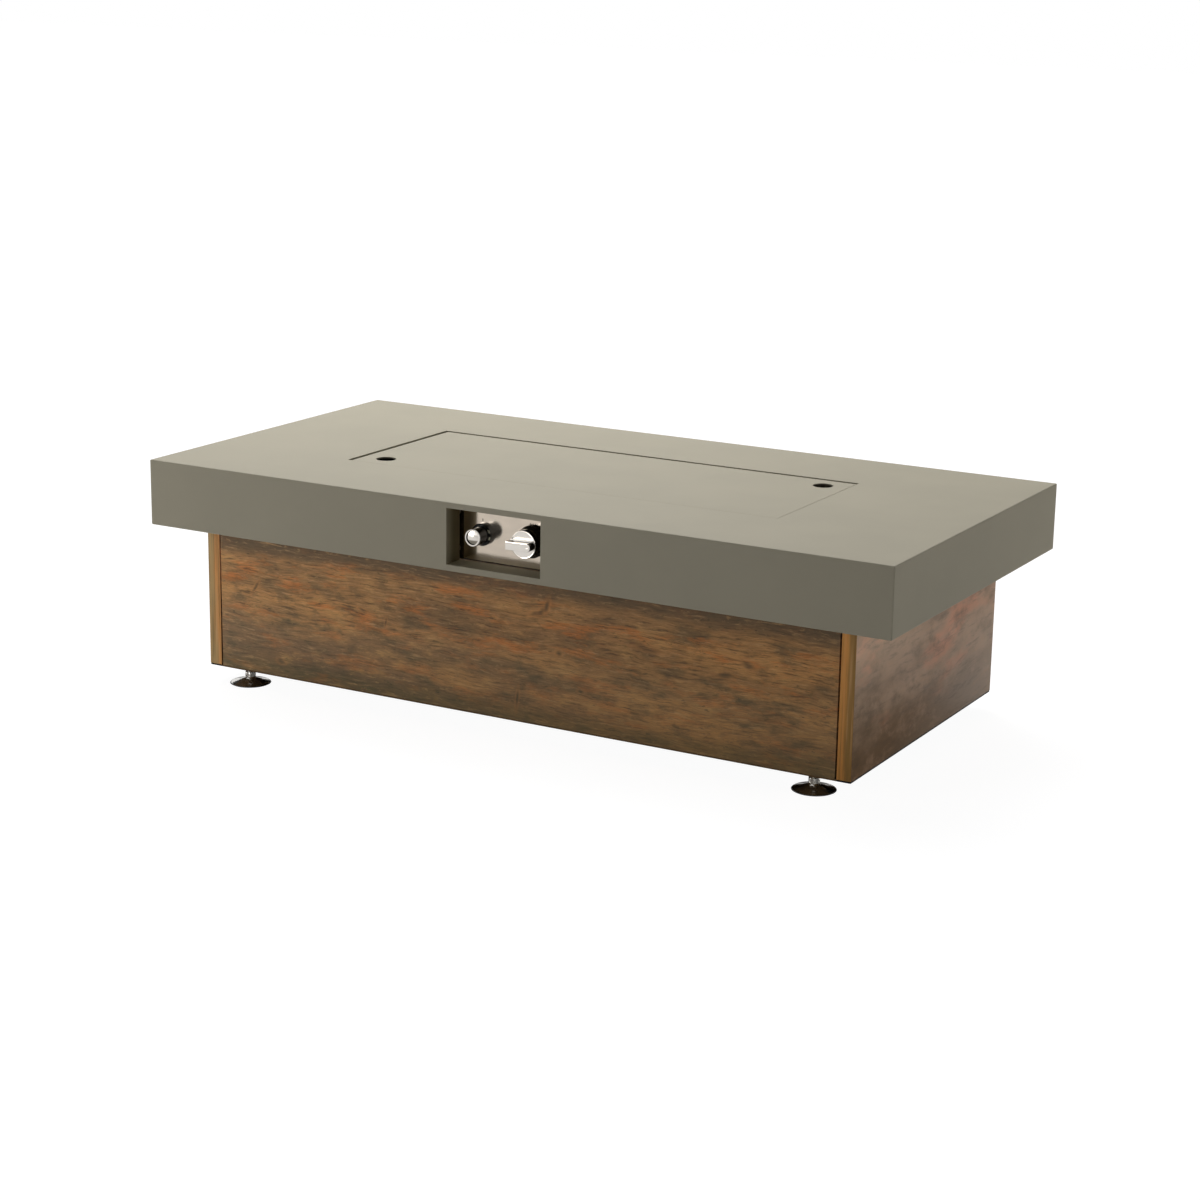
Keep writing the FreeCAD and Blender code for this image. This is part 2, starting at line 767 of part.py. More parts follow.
def make_ignition():
    low, high = hood_corners()
    sheet_wall = size.hood_sheet
    inner_low = (low[0] + sheet_wall, low[1] + sheet_wall, low[2] + sheet_wall)
    inner_high = (high[0] - sheet_wall, high[1] - sheet_wall, high[2] - sheet_wall)
    slots = []
    for index in (-1, 0, 1):
        middle = -size.hood_offset + index * size.hood_length / 4
        slot_top = high[2] - size.hood_slot_height
        slot_floor = slot_top - size.hood_slot_height
        slots.append(block("hood_slot", (middle - size.hood_slot / 2, low[1], slot_floor),
                           (middle + size.hood_slot / 2, high[1], slot_top)))
    electrode_x = -size.hood_offset - size.probe_spacing / 2
    probe_x = -size.hood_offset + size.probe_spacing / 2
    seats = [rod("hood_seat", (across, -size.hood_front, low[2]), wide + 2 * size.hole_gap, sheet_wall)
             for across, wide in ((electrode_x, size.electrode_wide), (probe_x, size.probe_wide))]
    hood = cut("ignition_hood", block("hood_outer", low, high),
               [block("hood_inner", inner_low, inner_high)] + slots + seats)
    sub_part(hood, "ignition_hood")
    inside = high[2] - sheet_wall - pan_under
    ceramic = rod("electrode_ceramic", (electrode_x, -size.hood_front, pan_under), size.electrode_wide,
                  size.ceramic_length)
    tip = rod("electrode_tip", (electrode_x, -size.hood_front, pan_under), size.electrode_tip,
              inside - size.tip_gap)
    sub_part(join("spark_electrode", [ceramic, tip]), "spark_electrode")
    return electrode_x, probe_x, inside


def make_media():
    gap = size.media_gap
    side_x = size.pan_length / 2 - size.pan_sheet - gap
    side_y = size.pan_depth / 2 - size.pan_sheet - gap
    bed = block("media_bed", (-side_x, -side_y, pan_floor), (side_x, side_y, pan_floor + size.media_height))
    level = pan_floor + size.burner_lift + size.burner_wide / 2
    half = size.burner_length / 2 + gap
    side = size.burner_spacing / 2
    wide = size.burner_wide + 2 * gap
    spaces = [block("media_side", (-half, edge * side - wide / 2, pan_floor), (half, edge * side + wide / 2,
                                                                             level + wide / 2))
              for edge in (-1, 1)]
    spaces.append(block("media_cross", (-wide / 2, -side, pan_floor), (wide / 2, side, level + wide / 2)))
    spaces.append(block("media_hood", *hood_corners(gap)))
    sub_part(cut("fire_media", bed, spaces), "fire_media")


# Igniter: chromed bezel and barrel, nut, housing with its battery, button and return spring

def make_igniter():
    spot = (igniter_x, plate_front, control_level)
    collar, barrel = size.collar_wide / 2, size.barrel_wide / 2
    bore = size.barrel_bore / 2
    tail_end = -size.plate_sheet - size.tail_length
    step = size.collar_thick - size.rim_round
    bezel = turned("igniter_bezel_body", [
        (size.tail_bore / 2, tail_end), (size.tail_wide / 2, tail_end), (size.tail_wide / 2, 0),
        (collar, 0), (collar, step), (collar - size.rim_round, size.collar_thick),
        (barrel, size.collar_thick), (barrel, size.barrel_reach - size.rim_round),
        (barrel - size.rim_round, size.barrel_reach), (bore, size.barrel_reach),
        (bore, size.barrel_floor), (size.tail_bore / 2, size.barrel_floor)])
    sub_part(put(bezel, spot, OUT_OF_FRONT), "igniter_bezel")
    nut_spot = (igniter_x, plate_back, control_level)
    nut = cut("igniter_nut", hexagon("igniter_nut_blank", nut_spot, size.nut_flats, size.nut_height, ALONG_Y),
              [rod("igniter_nut_bore", nut_spot, size.tail_wide + 2 * size.thread_gap, size.nut_height,
                   ALONG_Y)])
    sub_part(nut, "igniter_nut")
    back = plate_front - tail_end
    shell = rod("housing_shell", (igniter_x, back, control_level), size.housing_wide, size.housing_length,
                ALONG_Y)
    hollow = rod("housing_hollow", (igniter_x, back, control_level), size.tail_bore,
                 size.housing_length - size.sleeve_sheet, ALONG_Y)
    sub_part(cut("igniter_housing", shell, [hollow]), "igniter_housing")
    cell_start = back + size.housing_length - size.sleeve_sheet - size.battery_length
    sub_part(rod("igniter_battery", (igniter_x, cell_start, control_level), size.battery_wide,
                 size.battery_length, ALONG_Y), "igniter_battery")
    face = size.barrel_reach - size.button_inset
    edge = bore - size.button_gap
    skirt = face - size.button_skirt
    plunger = size.plunger_wide / 2
    tip = size.barrel_floor - size.button_travel
    button = turned("igniter_button_body", [
        (0, tip), (plunger, tip), (plunger, skirt), (edge, skirt), (edge, face - size.rim_round / 2),
        (edge - size.rim_round / 2, face), (edge - size.button_rim, face),
        (edge - size.button_rim - size.rim_round / 2, face - size.button_dish / 2),
        (size.dish_wide / 2, face - size.button_dish), (0, face - size.button_dish)])
    sub_part(put(button, spot, OUT_OF_FRONT), "igniter_button")
    room = skirt - size.button_travel - size.spring_clear - size.barrel_floor
    spring = coil("igniter_spring", (igniter_x, control_level), size.igniter_coil + 2 * size.igniter_wire,
                  size.igniter_wire, plate_front - size.barrel_floor, room,
                  SPRING_TURNS)
    sub_part(spring, "igniter_spring")
    return back + size.housing_length


# Gas valve: body on the back of the plate, rotor, stem, knob and return spring

def make_valve():
    back = plate_back + size.valve_depth
    body = block("valve_block", (knob_x - size.valve_width / 2, plate_back,
                                 control_level - size.valve_height / 2),
                 (knob_x + size.valve_width / 2, back, control_level + size.valve_height / 2))
    nose = rod("valve_nose", (knob_x, plate_front - size.nose_reach, control_level), size.nose_wide,
               size.nose_reach + size.plate_sheet, ALONG_Y)
    bosses = []
    for side in (-1, 1):
        spot = (knob_x + side * size.port_spacing / 2, back, control_level - size.port_drop)
        bosses.append(rod("port_boss", spot, size.port_boss_wide, size.port_boss_reach, ALONG_Y))
    rotor_front = plate_front + size.rotor_near
    rotor_back = plate_front + size.rotor_far
    spaces = [rod("rotor_bore", (knob_x, rotor_front, control_level), size.rotor_wide + 2 * size.running_gap,
                  rotor_back - rotor_front, ALONG_Y),
              rod("stem_bore", (knob_x, plate_front - size.nose_reach, control_level),
                  size.stem_wide + 2 * size.running_gap, size.nose_reach + size.rotor_near, ALONG_Y)]
    for side, wide in ((-1, size.supply_wide), (1, size.burner_line_wide)):
        spot = (knob_x + side * size.port_spacing / 2, back, control_level - size.port_drop)
        spaces.append(rod("port_bore", spot, wide - 2 * size.burner_wall, size.port_boss_reach, ALONG_Y))
        screw = (knob_x + side * size.valve_screw_spacing / 2, plate_back, control_level)
        spaces.append(rod("valve_screw_bore", screw, size.screw_wide + 2 * size.hole_gap,
                          size.screw_bite, ALONG_Y))
    sub_part(cut("gas_valve_body", join("valve_casting", [body, nose] + bosses), spaces), "gas_valve_body")

    flat_level = control_level + size.stem_flat
    stem_start = plate_front + size.stem_end
    stem_length = size.stem_end + size.stem_in_knob
    stem_foot = (knob_x, plate_front - size.stem_in_knob, control_level)
    radius = size.stem_wide / 2
    stem_flat = block("stem_flat", (knob_x - radius, plate_front - size.stem_in_knob, flat_level),
                      (knob_x + radius, stem_start, control_level + radius))
    stem = cut("valve_stem", rod("stem_bar", stem_foot, size.stem_wide, stem_length, ALONG_Y), [stem_flat])
    sub_part(stem, "valve_stem")

    gap = size.running_gap
    keyed = rotor_front + gap
    slot_depth = size.stem_end + size.knob_travel + 2 * gap - size.rotor_near
    slot_round = rod("slot_round", (knob_x, keyed, control_level), size.stem_wide + 2 * gap,
                     slot_depth, ALONG_Y)
    slot_flat = block("slot_flat", (knob_x - radius - gap, keyed, flat_level + gap),
                      (knob_x + radius + gap, keyed + slot_depth, control_level + radius + gap))
    rotor = rod("rotor_bar", (knob_x, keyed, control_level), size.rotor_wide,
                rotor_back - rotor_front - 2 * size.running_gap, ALONG_Y)
    sub_part(cut("valve_plug", rotor, [cut("rotor_slot", slot_round, [slot_flat])]), "valve_plug")

    skirt, rim = size.knob_skirt_wide / 2, size.knob_wide / 2
    hollow = (size.valve_screw_spacing + size.screw_head_wide) / 2 + size.knob_clear
    hollow_end = size.knob_back + size.knob_hollow
    knob = turned("valve_knob_body", [
        (hollow, size.knob_back), (skirt, size.knob_back), (skirt, size.knob_back + 2 * size.knob_round),
        (rim + size.knob_round, size.knob_back + size.knob_skirt),
        (rim, size.knob_back + size.knob_skirt + 2 * size.knob_round),
        (rim, size.knob_face - size.knob_round), (rim - size.knob_round, size.knob_face),
        (0, size.knob_face), (0, hollow_end), (hollow, hollow_end)])
    grip = sketch_on(knob, "grip_plan", "XY_Plane", size.knob_face)
    rectangle(grip, (-rim, -size.grip_width / 2), (rim, size.grip_width / 2))
    feature(knob, "Pad", grip, size.grip_reach)
    reach = size.knob_face.number + size.grip_reach.number
    round_edges(knob, "grip_ends", size.grip_round,
                lambda edge: edge_at(edge, "z", reach) and edge.BoundBox.YLength > edge.BoundBox.XLength)
    socket = sketch_on(knob, "knob_socket", "XY_Plane", hollow_end)
    circle(socket, 0, 0, size.stem_wide + 2 * gap)
    feature(knob, "Pocket", socket, size.stem_in_knob + 2 * gap - hollow_end, reverse=True)
    sub_part(put(knob, (knob_x, plate_front, control_level), OUT_OF_FRONT), "valve_knob")

    room = hollow_end - size.knob_travel - size.spring_clear - size.nose_reach
    spring = coil("valve_spring", (knob_x, control_level), size.valve_coil + 2 * size.valve_wire,
                  size.valve_wire, plate_front - size.nose_reach, room,
                  SPRING_TURNS)
    sub_part(spring, "valve_spring")
    screws = []
    for side in (-1, 1):
        spot = (knob_x + side * size.valve_screw_spacing / 2, plate_front - size.screw_head, control_level)
        head = rod("valve_screw_head", spot, size.screw_head_wide, size.screw_head, ALONG_Y)
        shank = rod("valve_screw_shank", spot, size.screw_wide, size.screw_head + size.plate_sheet
                    + size.screw_bite - size.hole_gap, ALONG_Y)
        screws.append(join("valve_screw", [head, shank]))
    sub_part(group("valve_screws", screws), "valve_screws")
    return back + size.port_boss_reach


# Gas inlet through the back panel, and the lines that carry gas and spark

def make_lines(valve_ports, igniter_end, electrode_x, probe_x, inside):
    supply_x = knob_x - size.port_spacing / 2
    burner_x = knob_x + size.port_spacing / 2
    port_level = control_level - size.port_drop
    outside = base_half_depth
    lead = (supply_x, outside, size.inlet_height)
    thread = rod("inlet_thread", lead, size.inlet_thread, size.inlet_flange + size.inlet_thread_length,
                 ALONG_Y)
    flange = hexagon("inlet_flange", lead, size.inlet_flats, size.inlet_flange, ALONG_Y)
    tail_start = face_inner - size.inlet_tail
    tail = rod("inlet_tail", (supply_x, tail_start, size.inlet_height), size.inlet_body,
               outside - tail_start, ALONG_Y)
    bore = rod("inlet_bore", (supply_x, tail_start, size.inlet_height), size.inlet_bore,
               outside - tail_start + size.inlet_flange + size.inlet_thread_length, ALONG_Y)
    sub_part(cut("gas_inlet", join("inlet_blank", [thread, flange, tail]), [bore]), "gas_inlet")
    nut_spot = (supply_x, face_inner - size.lock_nut, size.inlet_height)
    nut = cut("inlet_nut", hexagon("inlet_nut_blank", nut_spot, size.inlet_flats, size.lock_nut, ALONG_Y),
              [rod("inlet_nut_bore", nut_spot, size.inlet_body + 2 * size.thread_gap, size.lock_nut,
                   ALONG_Y)])
    sub_part(nut, "inlet_nut")

    turn_y = valve_ports + size.line_turn
    riser_y = base_half_depth - size.inlet_set_in
    supply = pipe("supply_line", [
        (supply_x, valve_ports, port_level), (supply_x, turn_y, port_level),
        (supply_x, turn_y, size.supply_level), (supply_x, riser_y - size.supply_bend, size.supply_level),
        (supply_x, riser_y - size.supply_bend, size.inlet_height), (supply_x, tail_start, size.inlet_height)],
        size.supply_wide, size.supply_bend)
    sub_part(supply, "supply_line")
    burner_line = pipe("burner_line", [
        (burner_x, valve_ports, port_level), (burner_x, turn_y, port_level),
        (burner_x, turn_y, size.elbow_level), (0, -size.line_turn - size.elbow_wide, size.elbow_level),
        (0, -size.elbow_wide, size.elbow_level)],
        size.burner_line_wide, size.burner_line_bend)
    sub_part(burner_line, "burner_line")

    rise_y = -size.hood_front
    ignition = pipe("ignition_wire", [
        (igniter_x, igniter_end, control_level), (igniter_x, igniter_end + size.line_turn, control_level),
        (igniter_x, igniter_end + size.line_turn, size.wire_level), (electrode_x, rise_y - size.wire_last_run,
                                                                     size.wire_level),
        (electrode_x, rise_y, size.wire_level), (electrode_x, rise_y, pan_under)],
        size.wire_wide, size.wire_bend)
    sub_part(ignition, "ignition_wire")
    lead_level = control_level + size.port_drop
    lead_turn = valve_ports + size.lead_turn
    capillary = pipe("thermocouple_lead", [
        (knob_x, valve_ports - size.port_boss_reach, lead_level), (knob_x, lead_turn, lead_level),
        (knob_x, lead_turn, size.wire_level), (probe_x, rise_y - size.wire_last_run, size.wire_level),
        (probe_x, rise_y, size.wire_level), (probe_x, rise_y, pan_floor)],
        size.wire_wide, size.wire_bend)
    doc.recompute()
    probe = rod("thermocouple_tip", (probe_x, rise_y, pan_under), size.probe_wide, inside - size.tip_gap)
    sub_part(join("thermocouple", [capillary, probe]), "thermocouple")


# Base panels: full-depth ends, and front and back panels between them with a narrow groove

def make_panels():
    screw_hole = size.screw_wide + 2 * size.hole_gap
    flange_middle = size.frame_gap + size.screw_on_leg
    levels = [rail_top + size.screw_from_end, upper_rail_top - size.screw_from_end]
    screws = []

    def hole_or_screw(name, spot, start, side, turn):
        """A pilot hole, and the screw in it, from the post's flange into a panel."""
        bite = size.screw_bite + size.frame_gap + size.rail_sheet
        axis = 0 if turn is ALONG_X else 1
        hole = list(spot)
        shank = list(spot)
        head = list(spot)
        near = side * (start - size.frame_gap - size.rail_sheet)
        if side > 0:
            shank[axis] = near
            head[axis] = near - size.screw_head
            hole[axis] = side * start
        else:
            shank[axis] = near - bite
            head[axis] = near
            hole[axis] = side * start - size.screw_bite - size.hole_gap
        screws.append(join(f"{name}_screw", [
            rod(f"{name}_shank", shank, size.screw_wide, bite, turn),
            rod(f"{name}_head", head, size.screw_head_wide, size.screw_head, turn)]))
        return rod(f"{name}_hole", hole, screw_hole, size.screw_bite + size.hole_gap, turn)

    bottom = rail_top
    for name, side in (("left_end_panel", -1), ("right_end_panel", 1)):
        near, far = (end_inner, base_half_length) if side > 0 else (-base_half_length, -end_inner)
        blank = block(f"{name}_blank", (near, -base_half_depth, bottom), (far, base_half_depth, base_top))
        holes = []
        for edge in (-1, 1):
            for level in levels:
                spot = (0, edge * (face_inner - flange_middle), level)
                holes.append(hole_or_screw(name, spot, end_inner, side, ALONG_X))
        sub_part(cut(name, blank, holes), name)
    for name, side in (("front_panel", -1), ("back_panel", 1)):
        near, far = (face_inner, base_half_depth) if side > 0 else (-base_half_depth, -face_inner)
        reach = end_inner - size.panel_groove
        blank = block(f"{name}_blank", (-reach, near, bottom), (reach, far, base_top))
        holes = []
        for end in (-1, 1):
            for level in levels:
                spot = (end * (end_inner - flange_middle), 0, level)
                holes.append(hole_or_screw(name, spot, face_inner, side, ALONG_Y))
        if side > 0:
            holes.append(rod("inlet_hole", (knob_x - size.port_spacing / 2, near, size.inlet_height),
                             size.inlet_body + 2 * size.hole_gap, size.face_panel, ALONG_Y))
        sub_part(cut(name, blank, holes), name)
    sub_part(group("panel_screws", screws), "panel_screws")


# Base frame: lower rails under the panels, corner posts, upper rails and deck channels

def make_frame():
    wall = size.rail_sheet
    out_x = base_half_length - size.rail_setback
    out_y = base_half_depth - size.rail_setback
    in_x = out_x - size.rail_width
    in_y = out_y - size.rail_width
    foot_x = base_half_length - size.foot_inset_end
    foot_y = base_half_depth - size.foot_inset_side
    insert_hole = size.foot_thread + 2 * size.thread_gap
    lip_top = size.foot_gap + size.rail_lip
    for name, side in (("lower_front_rail", -1), ("lower_back_rail", 1)):
        near, far = (in_y, out_y) if side > 0 else (-out_y, -in_y)
        lip_near, lip_far = (in_y, in_y + wall) if side > 0 else (-in_y - wall, -in_y)
        leg = block(f"{name}_leg", (-out_x, near, size.foot_gap), (out_x, far, rail_top))
        lip = block(f"{name}_lip", (-in_x, lip_near, size.foot_gap), (in_x, lip_far, lip_top))
        holes = [rod(f"{name}_hole", (end * foot_x, side * foot_y, size.foot_gap), insert_hole, wall)
                 for end in (-1, 1)]
        sub_part(cut(name, join(f"{name}_blank", [leg, lip]), holes), name)
    for name, side in (("lower_left_rail", -1), ("lower_right_rail", 1)):
        near, far = (in_x, out_x) if side > 0 else (-out_x, -in_x)
        lip_near, lip_far = (in_x, in_x + wall) if side > 0 else (-in_x - wall, -in_x)
        leg = block(f"{name}_leg", (near, -in_y, size.foot_gap), (far, in_y, rail_top))
        lip = block(f"{name}_lip", (lip_near, -in_y, size.foot_gap), (lip_far, in_y, lip_top))
        sub_part(join(name, [leg, lip]), name)

    post_x = end_inner - size.frame_gap
    post_y = face_inner - size.frame_gap
    flange_middle = size.frame_gap + size.screw_on_leg
    screw_hole = size.screw_wide + 2 * size.hole_gap
    levels = [rail_top + size.screw_from_end, upper_rail_top - size.screw_from_end]
    for front, side_y in (("front", -1), ("back", 1)):
        for left, side_x in (("left", -1), ("right", 1)):
            name = f"{front}_{left}_post"
            low = [post_x - size.post_leg, post_y - size.post_leg]
            inner = [post_x - wall, post_y - wall]
            spans = []
            for side, near, far, bare in ((side_x, low[0], post_x, inner[0]),
                                          (side_y, low[1], post_y, inner[1])):
                spans.append((near, far, near, bare) if side > 0 else (-far, -near, -bare, -near))
            (x0, x1, x2, x3), (y0, y1, y2, y3) = spans
            blank = block(f"{name}_blank", (x0, y0, rail_top), (x1, y1, upper_rail_top))
            holes = [block(f"{name}_inside", (x2, y2, rail_top), (x3, y3, upper_rail_top))]
            for level in levels:
                in_end = (side_x * (post_x - wall / 2) - wall, side_y * (face_inner - flange_middle), level)
                in_face = (side_x * (end_inner - flange_middle), side_y * (post_y - wall / 2) - wall, level)
                holes.append(rod(f"{name}_end_hole", in_end, screw_hole, 2 * wall, ALONG_X))
                holes.append(rod(f"{name}_face_hole", in_face, screw_hole, 2 * wall, ALONG_Y))
            sub_part(cut(name, blank, holes), name)

    rail_reach = post_x - size.post_leg
    channel_x = size.cutout_length / 2 + size.channel_from_cutout + size.channel_width / 2
    bolt_y = post_y - size.channel_end_gap - size.bolt_from_end
    bolt_hole = size.bolt_wide + 2 * size.hole_gap
    for name, side in (("upper_front_rail", -1), ("upper_back_rail", 1)):
        near, far = ((post_y - size.rail_width, post_y) if side > 0
                     else (-post_y, size.rail_width - post_y))
        leg_near, leg_far = (post_y - wall, post_y) if side > 0 else (-post_y, wall - post_y)
        flat = block(f"{name}_flat", (-rail_reach, near, upper_rail_top - wall),
                     (rail_reach, far, upper_rail_top))
        leg = block(f"{name}_leg", (-rail_reach, leg_near, upper_rail_top - size.upper_rail_leg),
                    (rail_reach, leg_far, upper_rail_top))
        holes = [rod(f"{name}_hole", (end * channel_x, side * bolt_y, upper_rail_top - wall), bolt_hole, wall)
                 for end in (-1, 1)]
        sub_part(cut(name, join(f"{name}_blank", [flat, leg]), holes), name)

    channel_y = post_y - size.channel_end_gap
    for name, side in (("left_deck_channel", -1), ("right_deck_channel", 1)):
        middle = side * channel_x
        half = size.channel_width / 2
        blank = block(f"{name}_blank", (middle - half, -channel_y, upper_rail_top),
                      (middle + half, channel_y, deck_under))
        inside = ((middle - half, middle + half - wall) if side < 0
                  else (middle - half + wall, middle + half))
        tools = [block(f"{name}_inside", (inside[0], -channel_y, upper_rail_top + wall),
                       (inside[1], channel_y, deck_under - wall))]
        for edge in (-1, 1):
            tools.append(rod(f"{name}_hole", (middle, edge * bolt_y, upper_rail_top), bolt_hole, wall))
        sub_part(cut(name, blank, tools), name)

    bolts = []
    for end in (-1, 1):
        for edge in (-1, 1):
            spot = (end * channel_x, edge * bolt_y)
            head = hexagon("bolt_head", (*spot, upper_rail_top - wall - size.bolt_head), size.bolt_flats,
                           size.bolt_head)
            shank = rod("bolt_shank", (*spot, upper_rail_top - wall), size.bolt_wide,
                        2 * wall + size.bolt_head)
            nut = hexagon("bolt_nut", (*spot, upper_rail_top + wall), size.bolt_flats, size.bolt_head)
            bolts.append(join("frame_bolt", [head, shank, nut]))
    sub_part(group("frame_bolts", bolts), "frame_bolts")


# Levelling feet: a flared disc, a threaded stem with a hexagon, and a threaded insert in the rail

def make_feet():
    foot_x = base_half_length - size.foot_inset_end
    foot_y = base_half_depth - size.foot_inset_side
    hexagon_bottom = size.disc_height
    stem_top = rail_top + size.foot_engaged
    inserts = []
    for front, side_y in (("front", -1), ("back", 1)):
        for left, side_x in (("left", -1), ("right", 1)):
            spot = (side_x * foot_x, side_y * foot_y)
            rim, neck = size.disc_wide / 2, size.neck_wide / 2
            disc = turned(f"foot_disc_{front}_{left}_body", [
                (0, 0), (rim - size.disc_rim, 0), (rim, size.disc_rim / 2), (rim - size.disc_rim / 2,
                                                                           size.disc_rim),
                (size.flare_wide / 2, size.flare_height), (size.shoulder_wide / 2, size.shoulder_height),
                (neck, size.disc_height), (0, size.disc_height)])
            sub_part(put(disc, (*spot, 0)), f"foot_disc_{front}_{left}")
            nut = hexagon("foot_hexagon", (*spot, hexagon_bottom), size.hexagon_flats, size.hexagon_height)
            thread = rod("foot_thread_bar", (*spot, hexagon_bottom), size.foot_thread,
                         stem_top - hexagon_bottom)
            sub_part(join(f"foot_stem_{front}_{left}", [nut, thread]), f"foot_stem_{front}_{left}")
            tube = rod("insert_tube", (*spot, rail_top), size.insert_wide, size.insert_height)
            bore = rod("insert_bore", (*spot, rail_top), size.foot_thread + 2 * size.thread_gap,
                       size.insert_height)
            inserts.append(cut("foot_insert", tube, [bore]))
    sub_part(group("foot_inserts", inserts), "foot_inserts")


make_table_top()
make_control_sleeve()
make_control_plate()
make_lid_ledge()
make_lid()
make_burner_pan()
make_burner_tube()
make_burner_elbow()
electrode_x, probe_x, hood_inside = make_ignition()
make_media()
igniter_end = make_igniter()
valve_ports = make_valve()
make_lines(valve_ports, igniter_end, electrode_x, probe_x, hood_inside)
make_panels()
make_frame()
make_feet()

doc.recompute()
failed = [item.Name for item in doc.Objects if "Invalid" in item.State or "Error" in item.State]
if failed:
    raise RuntimeError(f"these objects failed: {failed}")
os.makedirs("parts", exist_ok=True)
for item in SUB_PARTS:
    if item.Shape.isNull() or not item.Shape.isValid() or not item.Shape.Solids:
        raise RuntimeError(f"{item.Label} is not a valid solid")
for item in SUB_PARTS:
    item.Shape.exportStep(f"parts/{item.Label}.step")
print(f"{len(SUB_PARTS)} sub-parts written")
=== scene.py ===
import math
import random

import bmesh
import bpy
from mathutils import Matrix, Vector, noise


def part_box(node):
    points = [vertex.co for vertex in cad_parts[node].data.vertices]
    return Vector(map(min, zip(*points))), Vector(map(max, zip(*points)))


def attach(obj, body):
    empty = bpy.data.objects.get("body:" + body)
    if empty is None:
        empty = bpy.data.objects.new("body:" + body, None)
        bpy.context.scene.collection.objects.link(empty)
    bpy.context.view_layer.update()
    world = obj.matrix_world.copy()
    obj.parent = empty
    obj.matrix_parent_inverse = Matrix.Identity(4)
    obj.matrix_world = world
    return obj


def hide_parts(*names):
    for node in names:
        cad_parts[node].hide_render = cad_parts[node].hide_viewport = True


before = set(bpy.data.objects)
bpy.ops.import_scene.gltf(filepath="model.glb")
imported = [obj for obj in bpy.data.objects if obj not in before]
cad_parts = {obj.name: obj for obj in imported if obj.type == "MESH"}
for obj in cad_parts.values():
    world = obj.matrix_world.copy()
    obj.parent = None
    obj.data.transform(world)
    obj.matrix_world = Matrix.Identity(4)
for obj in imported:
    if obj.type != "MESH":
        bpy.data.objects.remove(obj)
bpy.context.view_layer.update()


# Base frame
# Posts, rails and two deck channels, folded from 3 mm steel sheet and bolted together under the top, with
# the ledge that the lid rests on. They are powder coated black, with the fine peel of such a coat, and the
# lower front and back rails are brown between the end panels.

class Field:
    """A socket of a material's nodes. Sums, differences and products of fields add Math nodes."""

    def __init__(self, socket):
        self.socket = socket

    def node(self, kind, settings=None, inputs=None, output=0):
        """Any other node of the same material: its settings first, then its inputs."""
        tree = self.socket.id_data
        made = tree.nodes.new("ShaderNode" + kind)
        for name, value in (settings or {}).items():
            setattr(made, name, value)
        for name, value in (inputs or {}).items():
            if isinstance(value, Field):
                tree.links.new(value.socket, made.inputs[name])
            else:
                made.inputs[name].default_value = value
        return Field(made.outputs[output])

    def math(self, operation, *values):
        return self.node("Math", {"operation": operation}, dict(enumerate(values)))

    def __add__(self, other):
        return self.math("ADD", self, other)

    def __sub__(self, other):
        return self.math("SUBTRACT", self, other)

    def __rsub__(self, other):
        return self.math("SUBTRACT", other, self)

    def __mul__(self, other):
        return self.math("MULTIPLY", self, other)

    def __abs__(self):
        return self.math("ABSOLUTE", self)

    __radd__ = __add__
    __rmul__ = __mul__

    def step(self, low, high):
        """0 below low, 1 above high, and a soft step between them. A low above high turns it round."""
        return self.node("MapRange", {"interpolation_type": "SMOOTHSTEP"}, {0: self, 1: low, 2: high})

    def colour(self, low, high):
        """The colour low where the field is 0 and high where it is 1. Each is a field or three numbers."""
        low, high = (end if isinstance(end, Field) else (*end, 1) for end in (low, high))
        return self.node("Mix", {"data_type": "RGBA"}, {0: self, 6: low, 7: high}, 2)

    def under(self, *layers):
        """The colour with others laid over it in turn. A layer is its cover, from 0 to 1, and its colour."""
        result = self
        for cover, paint in layers:
            result = cover.colour(result, paint)
        return result

    def axis(self, index):
        return self.node("SeparateXYZ", None, {0: self}, index)

    def vector(self, x=0.0, y=0.0, z=0.0):
        """A vector field of three fields or numbers."""
        return self.node("CombineXYZ", None, {0: x, 1: y, 2: z})

    def scaled(self, factors, offsets):
        """The vector field times the factors, moved by the offsets."""
        return self.node("VectorMath", {"operation": "MULTIPLY_ADD"}, {0: self, 1: factors, 2: offsets})

    def length(self):
        return self.node("VectorMath", {"operation": "LENGTH"}, {0: self}, 1)

    def noise(self, stretch, seed=0.0, detail=3.0, roughness=0.5):
        """Noise with so many lumps a metre, the same along all axes or one number for each."""
        if not isinstance(stretch, tuple):
            stretch = (stretch, stretch, stretch)
        placed = self.scaled(stretch, (seed, 1.7 * seed, 2.3 * seed))
        return self.node("TexNoise", None,
                         {"Vector": placed, "Scale": 1.0, "Detail": detail, "Roughness": roughness})


class Finish:
    """One material. Its values are the same all over, and vary and relief add what changes."""

    def __init__(self, name, **values):
        self.material = bpy.data.materials.new(name)
        self.material.use_nodes = True
        self.shader = self.material.node_tree.nodes["Principled BSDF"]
        for key, value in values.items():
            self.shader.inputs[key.replace("_", " ")].default_value = value
        coordinates = self.material.node_tree.nodes.new("ShaderNodeTexCoord")
        self.place = Field(coordinates.outputs["Object"])
        self.facing = Field(coordinates.outputs["Normal"])

    def vary(self, name, field):
        self.material.node_tree.links.new(field.socket, self.shader.inputs[name])

    def relief(self, height, depth):
        """Raises the surface by the field, in metres of depth."""
        bump = height.node("Bump", None, {"Strength": 1.0, "Distance": depth, "Height": height})
        self.vary("Normal", bump)

    def on(self, *pieces):
        """Gives the finish to CAD nodes, by name, or to new pieces."""
        for target in pieces:
            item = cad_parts[target] if isinstance(target, str) else target
            item.data.materials.clear()
            item.data.materials.append(self.material)


